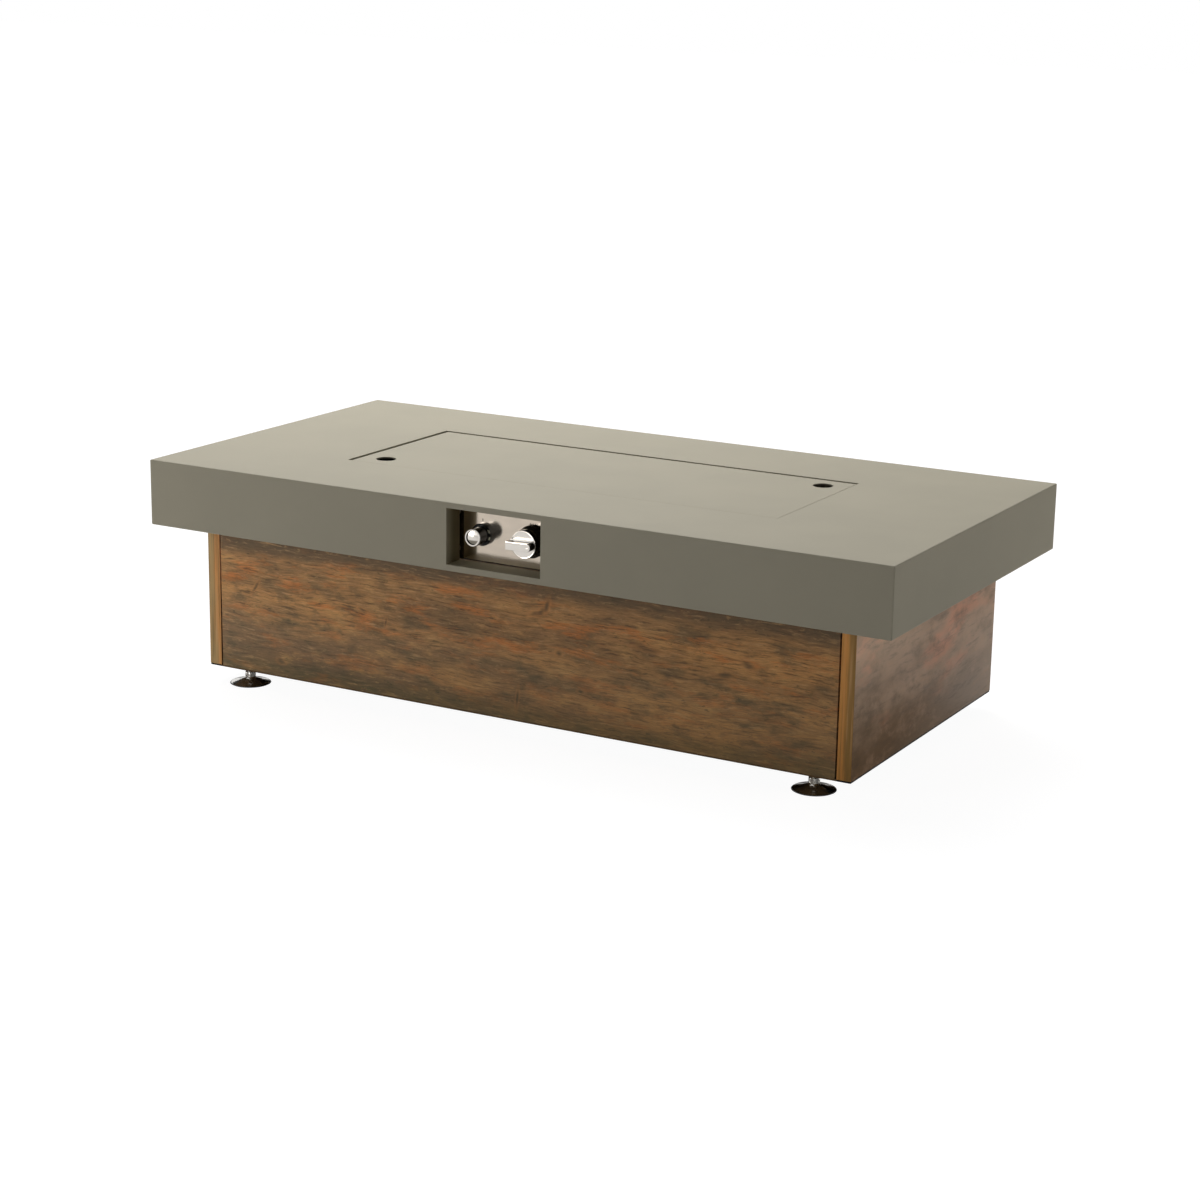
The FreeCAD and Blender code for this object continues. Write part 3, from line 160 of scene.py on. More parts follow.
def powder_coat(name, specular, lumps, depth):
    """A coat with the peel of baked powder: so many lumps a metre, and so deep."""
    coat = Finish(name, Specular_IOR_Level=specular)
    coat.peel = coat.place.noise(lumps, detail=2)
    coat.relief(coat.peel, depth)
    return coat


DEEP_BLACK = (0.018, 0.018, 0.017)
FRAME_PEEL = {"lumps": 700, "depth": 0.00006}

frame_coat = powder_coat("black_powder_coat", 0.4, **FRAME_PEEL)
dust = frame_coat.place.noise(9, seed=4, detail=5)
frame_coat.vary("Base Color", dust.step(0.45, 0.75).colour(DEEP_BLACK, (0.036, 0.034, 0.031)))
frame_coat.vary("Roughness", dust * 0.25 + 0.36)
folded = [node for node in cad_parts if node.endswith(("_post", "_rail", "_channel"))]
frame_coat.on(*folded, "lid_ledge")

rail_coat = powder_coat("brown_powder_coat", 0.1, **FRAME_PEEL)
dust = rail_coat.place.noise(30, seed=5, detail=5)
brown = dust.step(0.3, 0.7).colour((0.150, 0.095, 0.048), (0.215, 0.135, 0.066))
panel_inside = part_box("right_end_panel")[0][0]
covered = abs(rail_coat.place.axis(0)).step(panel_inside - 0.001, panel_inside)
rail_coat.vary("Base Color", covered.colour(brown, DEEP_BLACK))
rail_coat.vary("Roughness", dust * 0.25 + 0.36)
rail_coat.on("lower_front_rail", "lower_back_rail")


# Fasteners and springs
# Screws, bolts, spacers, threaded inserts and coil springs of zinc plated steel, bought in and screwed home.
# The plating is dull silver with a faint blue and yellow cast.

zinc = Finish("zinc_plating", Metallic=1.0)
cast = zinc.place.noise(60, seed=2)
zinc.vary("Base Color", cast.step(0.4, 0.65).colour((0.55, 0.57, 0.60), (0.62, 0.60, 0.53)))
zinc.vary("Roughness", zinc.place.noise(400) * 0.3 + 0.22)
zinc.on("plate_spacers", "plate_screws", "igniter_nut", "igniter_spring", "valve_spring", "valve_screws",
        "panel_screws", "frame_bolts", "foot_inserts")


# Wood panels
# Four boards with a rustic wood laminate hang on the frame: a front, a back and two thicker ends. The grain
# runs along each board, and the front edge of each end board has its own edging with upright grain.

BELT_HEIGHT = 0.190
MARKS = [(0.051, 0.214, 0.009, 0.003, 10), (0.062, 0.221, 0.009, 0.003, 42),
         (0.069, 0.230, 0.008, 0.003, 76), (0.092, 0.155, 0.004, 0.003, 0),
         (-0.241, 0.156, 0.005, 0.0016, 80), (0.133, 0.096, 0.004, 0.002, 0),
         (-0.508, 0.180, 0.009, 0.002, 55), (-0.287, 0.171, 0.006, 0.002, -15),
         (0.429, 0.188, 0.009, 0.004, -20), (0.252, 0.185, 0.014, 0.0025, -4),
         (-0.456, 0.056, 0.006, 0.003, 0), (0.389, 0.164, 0.011, 0.003, 3),
         (0.015, 0.066, 0.011, 0.002, 84)]


def long_board(name, seed, marks):
    """A laminate with its grain along X. A mark is (run, height, length, width, tilt in degrees)."""
    wood = Finish(name, Specular_IOR_Level=0.2)
    run, rise = wood.place.axis(0), wood.place.axis(2)
    flat = wood.place.vector(run, rise, seed)
    long_wave = (flat.noise((3.5, 11, 1), seed, 2) - 0.5) * 0.030
    short_wave = (flat.noise((16, 34, 1), seed, 3) - 0.5) * 0.010
    board = wood.place.vector(run, rise + (long_wave + short_wave), seed)

    heart = board.noise((1.9, 8, 1), seed + 1, 5, 0.6)
    belt = abs(rise - BELT_HEIGHT).step(0.085, 0.020)
    mottle = flat.noise((17, 34, 1), seed + 2, 5, 0.62)
    arch = board.noise((2.6, 24, 1), seed + 3, 4, 0.5)
    rust = flat.noise((10, 40, 1), seed + 7, 6, 0.66).step(0.50, 0.66)
    smudge = flat.noise((12, 27, 1), seed + 11, 6, 0.65).step(0.56, 0.70)
    streak = board.noise((24, 250, 1), seed + 5, 5, 0.62)
    fibre = board.noise((60, 1000, 1), seed + 6, 2)
    crack = board.noise((38, 330, 1), seed + 13, 4, 0.55).step(0.66, 0.74)
    speck = flat.noise((62, 150, 1), seed + 21, 6, 0.70)
    # Partly print and partly painted shade: the board is darker along its top, where the overhang of the top
    # shades it.
    top_band_and_shade = (mottle * 0.05 + rise).step(0.256, 0.276)
    bottom_band = (mottle * 0.05 - rise).step(-0.040, -0.015)

    tone = (heart + belt * 0.07).step(0.345, 0.665).colour((0.345, 0.190, 0.092), (0.770, 0.380, 0.130))
    tone = tone.under((arch.step(0.56, 0.42) * 0.38, (0.225, 0.140, 0.068)),
                      (mottle.step(0.53, 0.32) * 0.72, (0.175, 0.122, 0.060)),
                      (mottle.step(0.52, 0.70) * 0.66, (0.790, 0.425, 0.155)),
                      (rust * (belt * 0.30 + 0.45), (0.800, 0.270, 0.070)),
                      (smudge * 0.425, (0.150, 0.118, 0.058)),
                      (top_band_and_shade * 0.80, (0.150, 0.105, 0.058)),
                      (bottom_band * 0.45, (0.185, 0.145, 0.055)),
                      (streak.step(0.50, 0.30) * (belt * 0.25 + 0.58), (0.130, 0.082, 0.040)),
                      (streak.step(0.54, 0.74) * 0.52, (0.920, 0.540, 0.240)),
                      (fibre.step(0.62, 0.30) * 0.34, (0.11, 0.07, 0.038)),
                      (crack * 0.70, (0.060, 0.042, 0.024)),
                      (speck.step(0.58, 0.70) * 0.62, (0.095, 0.082, 0.038)),
                      (speck.step(0.44, 0.30) * 0.32, (0.860, 0.500, 0.210)))
    ragged = wood.place.vector(run, (mottle + streak - 1) * 0.012 + rise)
    for across, height, length, width, tilt in marks:
        turn = (0, 0, math.radians(tilt))
        local = ragged.node("Mapping", {"vector_type": "TEXTURE"},
                            {0: ragged, 1: (across, height, 0), 2: turn, 3: (length, width, 1)})
        reach = local.length()
        tone = tone.under((reach.step(3.2, 1.0) * 0.36, (0.70, 0.30, 0.10)),
                          (reach.step(2.0, 0.2) * 0.72, (0.080, 0.072, 0.040)))
    tone = tone.under((run.step(-0.35, 0.12) * 0.15, (0.050, 0.030, 0.014)),
                      (rise.step(0.19, 0.10) * 0.05, (0.400, 0.570, 0.440)))
    wood.vary("Base Color", tone)
    wood.vary("Roughness", streak * 0.25 + 0.34)
    wood.relief(streak * 0.7 + fibre * 0.3 - crack, 0.00035)
    return wood


long_board("front_wood", 1.0, MARKS).on("front_panel")
long_board("back_wood", 21.0, [(0.31, 0.19, 0.014, 0.004, 30)]).on("back_panel")


def end_board(name, seed, gold, olive):
    """A calmer, darker sheet of the laminate with its grain along Y, and edging from gold to olive."""
    wood = Finish(name, Specular_IOR_Level=0.25)
    run, rise = wood.place.axis(1), wood.place.axis(2)
    flat = wood.place.vector(run, rise, seed)
    wave = (flat.noise((3, 9, 1), seed, 2) - 0.5) * 0.040
    board = wood.place.vector(run, rise + wave, seed)
    cloud = board.noise((3.5, 11, 1), seed + 1, 5, 0.55)
    blush = board.noise((5, 15, 1), seed + 2, 4, 0.55)
    blotch = flat.noise((16, 24, 1), seed + 3, 5, 0.65)
    streak = board.noise((20, 120, 1), seed + 4, 6, 0.65)
    upper = rise.step(0.15, 0.24)

    # Painted shade and sheen: the sheet grows darker toward the bottom, greyer and paler toward the back
    # near the bottom, and paler toward the front on its upper band.
    tone = cloud.step(0.35, 0.68).colour((0.349, 0.225, 0.135), (0.573, 0.375, 0.238))
    tone = tone.under(((blush + rise * 0.9).step(0.66, 0.82) * 0.72, (0.790, 0.350, 0.200)),
                      (blotch.step(0.46, 0.70) * 0.62, (0.130, 0.088, 0.045)),
                      ((cloud * 0.08 + rise).step(0.225, 0.075) * 0.78, (0.137, 0.065, 0.011)),
                      (blotch.step(0.50, 0.32) * 0.42, (0.560, 0.340, 0.205)),
                      ((run * 0.8 - rise * 2).step(-0.30, 0.10) * 0.46, (0.581, 0.443, 0.337)),
                      (upper * run.step(0.05, -0.2) * 0.45, (0.940, 0.650, 0.430)),
                      (upper * run.step(-0.05, 0.2) * 0.22, (0.415, 0.165, 0.066)),
                      (streak.step(0.50, 0.28) * 0.42, (0.075, 0.045, 0.022)),
                      (streak.step(0.53, 0.74) * 0.25, (0.600, 0.360, 0.210)))

    across = abs(wood.place.axis(0))
    stave = wood.place.vector(across, seed, rise)
    drift = (stave.noise((60, 1, 9), seed + 5, 2) - 0.5) * 0.022
    upright = stave.noise((190, 1, 6), seed + 6, 4, 0.55)
    edging = (across + drift).step(0.589, 0.600).colour(gold, olive)
    edging = edging.under((upright.step(0.53, 0.30) * 0.55, (0.150, 0.084, 0.026)),
                          (upright.step(0.52, 0.72) * 0.55, (0.770, 0.450, 0.190)))
    on_edge = abs(wood.facing.axis(1)).step(0.6, 0.9)
    wood.vary("Base Color", on_edge.colour(tone, edging))
    wood.vary("Roughness", streak * 0.20 + 0.34)
    wood.relief(streak, 0.00015)
    return wood


end_board("left_end_wood", 41.0, (0.735, 0.335, 0.095), (0.540, 0.350, 0.145)).on("left_end_panel")
end_board("right_end_wood", 61.0, (0.760, 0.335, 0.080), (0.385, 0.205, 0.055)).on("right_end_panel")


# Levelling feet
# Four chromed steel feet, each a flared disc with a hexagon on a threaded stem, turned in and out of an
# insert in the frame to level the table. A thin black pad is glued under each disc.

PAD_HEIGHT = 0.0018

nickel = Finish("nickel_plating")
pad = nickel.place.axis(2).step(PAD_HEIGHT + 0.0001, PAD_HEIGHT - 0.0001)
nickel.vary("Metallic", 1 - pad)
nickel.vary("Base Color", pad.colour((0.62, 0.60, 0.56), (0.012, 0.011, 0.010)))
nickel.vary("Roughness", nickel.place.noise(150).step(0.3, 0.8) * 0.08 + pad * 0.4 + 0.12)


def piece(name, mesh, body, *replaced, smooth=True):
    """A new piece from a bmesh, riding on a body in place of CAD nodes. A smooth one keeps its edges."""
    data = bpy.data.meshes.new(name)
    if smooth:
        bmesh.ops.recalc_face_normals(mesh, faces=mesh.faces)
    mesh.to_mesh(data)
    mesh.free()
    if smooth:
        data.shade_smooth()
        data.set_sharp_from_angle(angle=math.radians(32))
    made = bpy.data.objects.new(name, data)
    bpy.context.scene.collection.objects.link(made)
    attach(made, body)
    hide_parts(*replaced)
    return made


def centre(node):
    """The middle of a CAD node's box."""
    return [(low + high) / 2 for low, high in zip(*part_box(node))]


def turns(count):
    """So many equal steps of a full turn, as angles."""
    return [math.tau * step / count for step in range(count)]


def join(mesh, rows):
    """Faces between each row of vertices and the next, which has as many."""
    for low, high in zip(rows, rows[1:]):
        for step in range(len(low)):
            after = (step + 1) % len(low)
            mesh.faces.new((low[step], low[after], high[after], high[step]))


def skin(mesh, rings):
    """Joins closed rings of points, each with as many, and closes the first and the last."""
    rows = [[mesh.verts.new(point) for point in ring] for ring in rings]
    join(mesh, rows)
    mesh.faces.new(rows[0])
    mesh.faces.new(rows[-1])


def along_axis(axis, base, across, rise, along):
    """A point beside the line through base along an axis (1 is Y, 2 is Z)."""
    across, rise = base[0] + across, base[1] + rise
    return (across, along, rise) if axis == 1 else (across, rise, along)


def thread(mesh, base, axis, radius, start, end, pitch, bore=0.0):
    """A screw thread through base along an axis, with tapered ends and an open bore if one is given."""
    facets = 36
    rows_a_turn = 6
    depth = pitch * 0.5
    count = round((end - start) / pitch * rows_a_turn)
    rows = []
    for row in range(count + 1):
        along = start + (end - start) * row / count
        most = radius - depth + min(along - start, end - along)
        flanks = [abs(2 * ((along / pitch + facet / facets) % 1) - 1) ** 0.8 for facet in range(facets)]
        rows.append((along, [min(radius - depth * flank, most) for flank in flanks]))
    if bore:
        rows += [(end, [bore] * facets), (start, [bore] * facets)]
    skin(mesh, [[along_axis(axis, base, reach * math.cos(turn), reach * math.sin(turn), along)
                 for turn, reach in zip(turns(facets), reaches)] for along, reaches in rows])


def hexagon(mesh, base, axis, half_width, start, end):
    """A hexagon with so much from its middle to a flat, its corners chamfered at both ends."""
    sixth = math.pi / 3
    corner = half_width / math.cos(sixth / 2)
    rings = []
    for along, narrowing in ((start, 0.001), (start + 0.0006, 0), (end - 0.0006, 0), (end, 0.001)):
        ring = []
        for turn in turns(48):
            off_flat = (turn + sixth / 2) % sixth - sixth / 2
            reach = min(half_width / math.cos(off_flat), corner - narrowing)
            ring.append(along_axis(axis, base, reach * math.sin(turn), reach * math.cos(turn), along))
        rings.append(ring)
    skin(mesh, rings)


for corner in ("front_left", "front_right", "back_left", "back_right"):
    nickel.on("foot_disc_" + corner)
    low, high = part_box("foot_stem_" + corner)
    base = centre("foot_stem_" + corner)[:2]
    stem = bmesh.new()
    thread(stem, base, 2, radius=0.005, start=low[2] + 0.0075, end=high[2], pitch=0.0015)
    hexagon(stem, base, 2, half_width=(high[1] - low[1]) / 2, start=low[2], end=low[2] + 0.008)
    nickel.on(piece("threaded_stem_" + corner, stem, "foot_" + corner, "foot_stem_" + corner))


# Table top
# A shell of folded and welded sheet metal with a matt grey-brown powder coat: a deck, four deep aprons and
# the sleeve that lines the opening for the controls. The loose lid over the burner has the same coat.

TOP_PEEL = {"lumps": 900, "depth": 0.00005}

top_coat = powder_coat("greige_powder_coat", 0.16, **TOP_PEEL)
cloud = top_coat.place.noise(6, seed=9, detail=4)
top_coat.vary("Base Color", cloud.step(0.3, 0.7).colour((0.374, 0.343, 0.262), (0.392, 0.358, 0.273)))
top_coat.vary("Roughness", top_coat.peel * 0.15 + 0.6)
top_coat.on("table_top", "burner_lid")

# Painted shade in the opening for the controls: its side walls grow darker toward the back of the recess,
# and the faces of the ears behind are painted almost black.
sleeve_coat = powder_coat("greige_powder_coat_with_painted_shade", 0.1, **TOP_PEEL)
deep = sleeve_coat.place.axis(1).step(-0.345, -0.318)
on_wall = abs(sleeve_coat.facing.axis(0)).step(0.6, 0.9)
ear_in_painted_shade = abs(sleeve_coat.facing.axis(1)).step(0.6, 0.9)
tone = (deep * on_wall).colour((0.377, 0.342, 0.238), (0.150, 0.122, 0.060))
sleeve_coat.vary("Base Color", ear_in_painted_shade.colour(tone, (0.030, 0.026, 0.018)))
sleeve_coat.vary("Roughness", sleeve_coat.peel * 0.15 + 0.6)
sleeve_coat.on("control_sleeve")


# Burner
# A drop-in pan of thin stainless sheet with a welded burner of square tube, an ignition hood and the gas
# pipe that feeds them, all left bright with a faint rolling grain.

stainless = Finish("stainless", Metallic=1.0)
rolled = stainless.place.noise((12, 400, 400), seed=3)
stainless.vary("Base Color", rolled.colour((0.50, 0.49, 0.47), (0.62, 0.61, 0.59)))
stainless.vary("Roughness", rolled * 0.2 + 0.22)
stainless.on("burner_pan", "pan_end_left", "pan_end_right", "burner_tube", "ignition_hood", "supply_line")


# Lava rock
# Loose lumps of broken lava, 25 to 40 mm across, poured over the burner. They are dark grey with rusty
# patches and full of gas bubbles, which leave pits all over them.

stone = Finish("lava_rock", Specular_IOR_Level=0.3, Roughness=0.92)
rust = stone.place.noise(22, seed=5, detail=4).step(0.46, 0.62)
crumb = stone.place.noise(260, seed=8, detail=5, roughness=0.6)
cells = stone.place.node("TexVoronoi", {"feature": "F1"}, {"Vector": stone.place, "Scale": 330.0})
pits = cells.step(0.15, 0.45)
tone = rust.colour((0.055, 0.048, 0.046), (0.115, 0.062, 0.045))
# The centres of the pits are painted near black: painted shade inside the bubble holes.
tone = tone.under((crumb.step(0.45, 0.7), (0.135, 0.115, 0.105)), (1 - pits, (0.018, 0.015, 0.014)))
stone.vary("Base Color", tone)
stone.relief(pits + crumb, 0.0012)

WALL_GAP = 0.0005
HOOD_GAP = 0.002
PITCH = 0.0275
HEAP_TOP = 0.357

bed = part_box("fire_media")
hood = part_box("ignition_hood")
pick = random.Random(11)
heap = bmesh.new()


def direction():
    """A random unit vector."""
    return Vector([pick.gauss(0, 1) for _ in range(3)]).normalized()


def lump(middle, size, fineness):
    """One broken rock near middle, which stays in the pan, off the hood and under the top of the heap."""
    rock = bmesh.new()
    bmesh.ops.create_icosphere(rock, subdivisions=fineness, radius=1)
    turn = Matrix.Rotation(pick.uniform(0, 6.28), 3, direction())
    shift = Vector([pick.uniform(-40, 40) for _ in range(3)])
    shape = Vector([size * pick.uniform(0.82, 1.12) for _ in range(3)])
    cuts = [(direction(), pick.uniform(0.62, 0.85)) for _ in range(6)]
    for vertex in rock.verts:
        point = vertex.co.copy()
        for normal, reach in cuts:
            beyond = point.dot(normal) - reach
            if beyond > 0:
                point -= normal * beyond * 0.85
        point *= 1 + 0.13 * noise.noise(point * 1.6 + shift) + 0.07 * noise.noise(point * 4.5 + shift)
        vertex.co = turn @ Vector([point[axis] * shape[axis] for axis in range(3)])
    spans = [[vertex.co[axis] for vertex in rock.verts] for axis in range(3)]
    place = list(middle)
    for axis in range(2):
        least = bed[0][axis] + WALL_GAP - min(spans[axis])
        most = bed[1][axis] - WALL_GAP - max(spans[axis])
        place[axis] = min(max(place[axis], least), most)
    place[2] = min(max(place[2], bed[0][2] - min(spans[2])), HEAP_TOP - max(spans[2]))
    on_hood = all(place[axis] + max(spans[axis]) > hood[0][axis] - HOOD_GAP
                  and place[axis] + min(spans[axis]) < hood[1][axis] + HOOD_GAP for axis in range(2))
    if not on_hood:
        bmesh.ops.translate(rock, verts=rock.verts, vec=place)
        mesh = bpy.data.meshes.new("lump")
        rock.to_mesh(mesh)
        heap.from_mesh(mesh)
        bpy.data.meshes.remove(mesh)
    rock.free()


for layer, (fineness, level) in enumerate(((2, 0.318), (2, 0.332), (3, 0.344))):
    for row in range(9):
        for column in range(28):
            across = (column - 13.5 + 0.5 * ((row + layer) % 2)) * PITCH + pick.uniform(-0.005, 0.005)
            along = (row - 4 + 0.3 * layer) * PITCH + pick.uniform(-0.005, 0.005)
            height = level + pick.uniform(-0.003, 0.004)
            lump((across, along, height), pick.uniform(0.0135, 0.019), fineness)

stone.on(piece("lava_rocks", heap, "table", "fire_media", smooth=False))


# Igniter and gas fittings
# The parts that carry the gas and the spark. The tubes are drawn copper, the elbow, plug, stem and inlet are
# turned brass, the valve body is cast aluminium and the igniter's housing is moulded. The inlet is screwed
# through the back panel.

def beside(finish, across, along, radius):
    """0 within a radius of an upright line and 1 outside."""
    return finish.place.scaled((1, 1, 0), (-across, -along, 0)).length().step(radius, radius + 0.0002)


ELECTRODE = centre("spark_electrode")[:2]
PROBE = (-0.081, -0.036)

porcelain = Finish("porcelain_on_steel_wire")
glazed = beside(porcelain, *ELECTRODE, 0.0013)
soot = porcelain.place.noise((300, 300, 200), seed=3, detail=4) * 0.02 + porcelain.place.axis(2)
white = (soot.step(0.326, 0.342) * 0.7).colour((0.80, 0.78, 0.72), (0.30, 0.24, 0.19))
porcelain.vary("Base Color", glazed.colour((0.42, 0.38, 0.34), white))
porcelain.vary("Metallic", 1 - glazed)
porcelain.vary("Roughness", soot.step(0.320, 0.345) * 0.35 + 0.16)
porcelain.on("spark_electrode")

copper = Finish("drawn_copper", Metallic=1.0)
tarnish = copper.place.noise(45, seed=7, detail=5, roughness=0.6)
copper.vary("Base Color", tarnish.step(0.42, 0.66).colour((0.76, 0.39, 0.25), (0.42, 0.21, 0.14)))
copper.vary("Roughness", tarnish * 0.35 + 0.12)
copper.relief(copper.place.noise((900, 900, 60), seed=2), 0.00002)
copper.on("burner_line")

probe = Finish("copper_lead_and_steel_probe", Metallic=1.0)
blued = probe.place.axis(2).step(0.322, 0.350).colour((0.52, 0.49, 0.46), (0.30, 0.20, 0.17))
drawn = probe.place.noise(60, seed=9, detail=5).step(0.4, 0.66)
lead = drawn.colour((0.74, 0.38, 0.24), (0.44, 0.23, 0.15))
probe.vary("Base Color", beside(probe, *PROBE, 0.0028).colour(blued, lead))
probe.vary("Roughness", drawn * 0.2 + 0.2)
probe.on("thermocouple")

brass = Finish("turned_brass", Metallic=1.0)
patina = brass.place.noise(70, seed=13, detail=5, roughness=0.6)
brass.vary("Base Color", patina.step(0.4, 0.7).colour((0.74, 0.54, 0.25), (0.50, 0.36, 0.17)))
brass.vary("Roughness", patina * 0.3 + 0.12)
brass.relief(brass.place.noise((60, 2600, 60), seed=4, detail=1), 0.00002)
brass.on("burner_elbow", "valve_plug", "valve_stem", "inlet_nut")

low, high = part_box("gas_inlet")
base = centre("gas_inlet")[::2]
inlet = bmesh.new()
thread(inlet, base, 1, radius=0.0095, start=low[1], end=0.2895, pitch=0.0015)
hexagon(inlet, base, 1, half_width=0.013, start=0.289, end=0.297)
thread(inlet, base, 1, radius=0.00794, start=0.2965, end=high[1], pitch=0.0018, bore=0.004)
brass.on(piece("threaded_gas_inlet", inlet, "table", "gas_inlet"))

moulded = Finish("black_moulded_plastic", Specular_IOR_Level=0.4)
grain = moulded.place.noise(1400, seed=6, detail=2)
moulded.vary("Base Color", grain.colour((0.016, 0.016, 0.017), (0.030, 0.030, 0.031)))
moulded.vary("Roughness", grain * 0.3 + 0.3)
moulded.relief(grain, 0.00004)
moulded.on("igniter_housing")

silicone = Finish("silicone_wire_cover", Specular_IOR_Level=0.35)
powder = silicone.place.noise(200, seed=8, detail=4)
silicone.vary("Base Color", powder.step(0.4, 0.7).colour((0.022, 0.022, 0.023), (0.048, 0.047, 0.045)))
silicone.vary("Roughness", powder * 0.3 + 0.35)
silicone.on("ignition_wire")

cell = Finish("battery_jacket")
length = cell.place.axis(1)
middle = centre("igniter_battery")[1]
capped = abs(length - middle).step(0.0238, 0.0240)
jacket = (length - middle).step(-0.0045, -0.0043).colour((0.55, 0.33, 0.13), (0.018, 0.018, 0.020))
cell.vary("Base Color", capped.colour(jacket, (0.60, 0.60, 0.61)))
cell.vary("Metallic", capped)
cell.vary("Roughness", cell.place.noise(150, seed=5) * 0.25 + 0.15)
cell.on("igniter_battery")

valve_metal = Finish("cast_aluminium", Metallic=1.0)
sand = valve_metal.place.noise(900, seed=5, detail=4)
stain = valve_metal.place.noise(50, seed=15, detail=4)
valve_metal.vary("Base Color", stain.step(0.35, 0.7).colour((0.60, 0.60, 0.59), (0.44, 0.43, 0.42)))
valve_metal.vary("Roughness", sand * 0.3 + 0.36)
valve_metal.relief(sand, 0.00015)
valve_metal.on("gas_valve_body")


# Control plate
# A flat plate of horizontally brushed stainless steel, which carries the igniter and the gas valve. Screws
# with spacers hold it to the ears of the sleeve. Black ticks are printed on it, one above the igniter and
# three above the knob.

TICKS = [(-0.0475, 0.3570, 0.0022), (0.0415, 0.3612, 0.0020), (0.0462, 0.3612, 0.0020),
         (0.0508, 0.3612, 0.0020)]

brushed = Finish("brushed_stainless", Metallic=1.0, Roughness=0.12)
across, rise = brushed.place.axis(0), brushed.place.axis(2)


def tick(middle, level, half_height):
    """1 on an upright tick around a point of the plate."""
    wide = abs(across - middle).step(0.0009, 0.0006)
    return wide * abs(rise - level).step(half_height, half_height - 0.0002)


inked = sum(tick(*place) for place in TICKS)
cloud = brushed.place.noise((25, 25, 60), seed=12, detail=3)
steel = cloud.step(0.3, 0.7).colour((0.740, 0.641, 0.532), (0.814, 0.707, 0.582))
brushed.vary("Base Color", (inked * 0.95).colour(steel, (0.02, 0.018, 0.016)))
grain = brushed.place.noise((30, 30, 7000), seed=6, detail=1)
tilt = brushed.place.vector(z=(grain - 0.5) * 0.16)
facing = brushed.place.node("NewGeometry", output=1)
leaning = facing.node("VectorMath", {"operation": "ADD"}, {0: facing, 1: tilt})
brushed.vary("Normal", leaning.node("VectorMath", {"operation": "NORMALIZE"}, {0: leaning}))
brushed.on("control_plate")


# Igniter and knob
# A screwed-in push igniter and a die-cast knob with a raised grip bar. Both are black chromed, and their
# front faces are ground bright. The igniter has a painted highlight in pale gold at its root, and its button
# is a low dome, painted darker on its lower part as painted shade.
# The grip's right end is round, with a small dimple that shows the setting.

IGNITER = centre("igniter_button")[::2]
KNOB = (0.046, 0.334)

two_tone = Finish("black_and_bright_chrome", Specular_IOR_Level=0.2)
across, forward, rise = two_tone.place.axis(0), two_tone.place.axis(1) * -1, two_tone.place.axis(2)
front_faces = (two_tone.facing.axis(1) * -1).step(0.45, 0.85) * forward.step(0.316, 0.320)
grip_top = two_tone.facing.axis(2).step(0.45, 0.85) * forward.step(0.3375, 0.3380) * across.step(0, 0.001)
bright = front_faces.math("MAXIMUM", front_faces, grip_top)
around = two_tone.place.scaled((1, 0, 1), (-IGNITER[0], 0, -IGNITER[1]))
reach = around.length()
# Painted highlight: two pale gold spots on the right of the igniter's root flange, matt, so that they stay
# bright.
painted_glint = reach.step(0.0146, 0.0149) * reach.step(0.0180, 0.0172) * forward.step(0.316, 0.315)
painted_glint = painted_glint * around.axis(0).step(0.0095, 0.0110)
painted_glint = painted_glint * abs(abs(rise - 0.3352) - 0.0055).step(0.0034, 0.0016)
# Painted shade: the lower part of the button's dome is darker.
shade = reach.step(0.0108, 0.0102) * rise.step(0.3315, 0.3285) * forward.step(0.318, 0.319)
tone = bright.colour((0.012, 0.011, 0.009), (0.97, 0.915, 0.84))
tone = tone.under((painted_glint, (0.93, 0.88, 0.66)), (shade * 0.92, (0.200, 0.180, 0.140)))
two_tone.vary("Base Color", tone)
two_tone.vary("Metallic", bright)
two_tone.vary("Roughness", two_tone.place.noise(200).step(0.3, 0.8) * 0.06 + 0.12)
two_tone.on("igniter_bezel")


def around_y(middle, level, radius, ahead, angles):
    """Points around a line along Y, at a radius and so far ahead of a level, both in millimetres."""
    reach = radius / 1000
    return [(middle[0] + reach * math.cos(angle), level - ahead / 1000, middle[1] + reach * math.sin(angle))
            for angle in angles]


# The outlines of the button and the knob are in millimetres: a radius, and how far ahead it is.
POINT = 0.01
DOME_RADIUS, DOME_RISE = 11, 1.5
DOME_FOOT = -0.6
BUTTON = [(POINT, -27.8), (4, -27.8), (4, -9), (11.2, -9), (11.2, -0.9), (11.0, DOME_FOOT)]
for step in range(9, -1, -1):
    radius = 1.2 * step
    BUTTON.append((max(radius, POINT), DOME_FOOT + DOME_RISE * (1 - (radius / DOME_RADIUS) ** 2)))
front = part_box("igniter_button")[0][1]
button = bmesh.new()
skin(button, [around_y(IGNITER, front, radius, ahead, turns(64)) for radius, ahead in BUTTON])
two_tone.on(piece("push_button", button, "igniter_button", "igniter_button"))

DISC = [(POINT, 19.4), (4.2, 19.4), (4.2, 16), (21.6, 16), (21.6, 0), (26.1, 0), (26.5, 0.4), (26.5, 2.6),
        (25.9, 3.6), (24.6, 9.6), (23.0, 11.6), (23.0, 24.2), (22.6, 25.1), (21.8, 25.5), (21.0, 25.3),
        (20.4, 25.3), (POINT, 25.3)]
GRIP_STEPS = [(1.1, 24.8), (1.1, 26.4), (0.7, 26.8), (0.1, 26.8), (0, 41.7), (-0.25, 42.3), (-0.8, 42.5),
              (-0.9, 42.5)]
DIMPLE = [(2.0, 42.5), (1.7, 42.3), (0.9, 41.7), (0.2, 41.6)]
GRIP_END = 22.8
GRIP_HALF = 6.7
ROUND_SIDE = 24
TILT = math.radians(1)

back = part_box("valve_knob")[1][1]


def tilted(x, z):
    """A point of the grip's outline, in millimetres from the knob's middle, turned with the grip."""
    return (KNOB[0] + (x * math.cos(TILT) - z * math.sin(TILT)) / 1000,
            KNOB[1] + (z * math.cos(TILT) + x * math.sin(TILT)) / 1000)


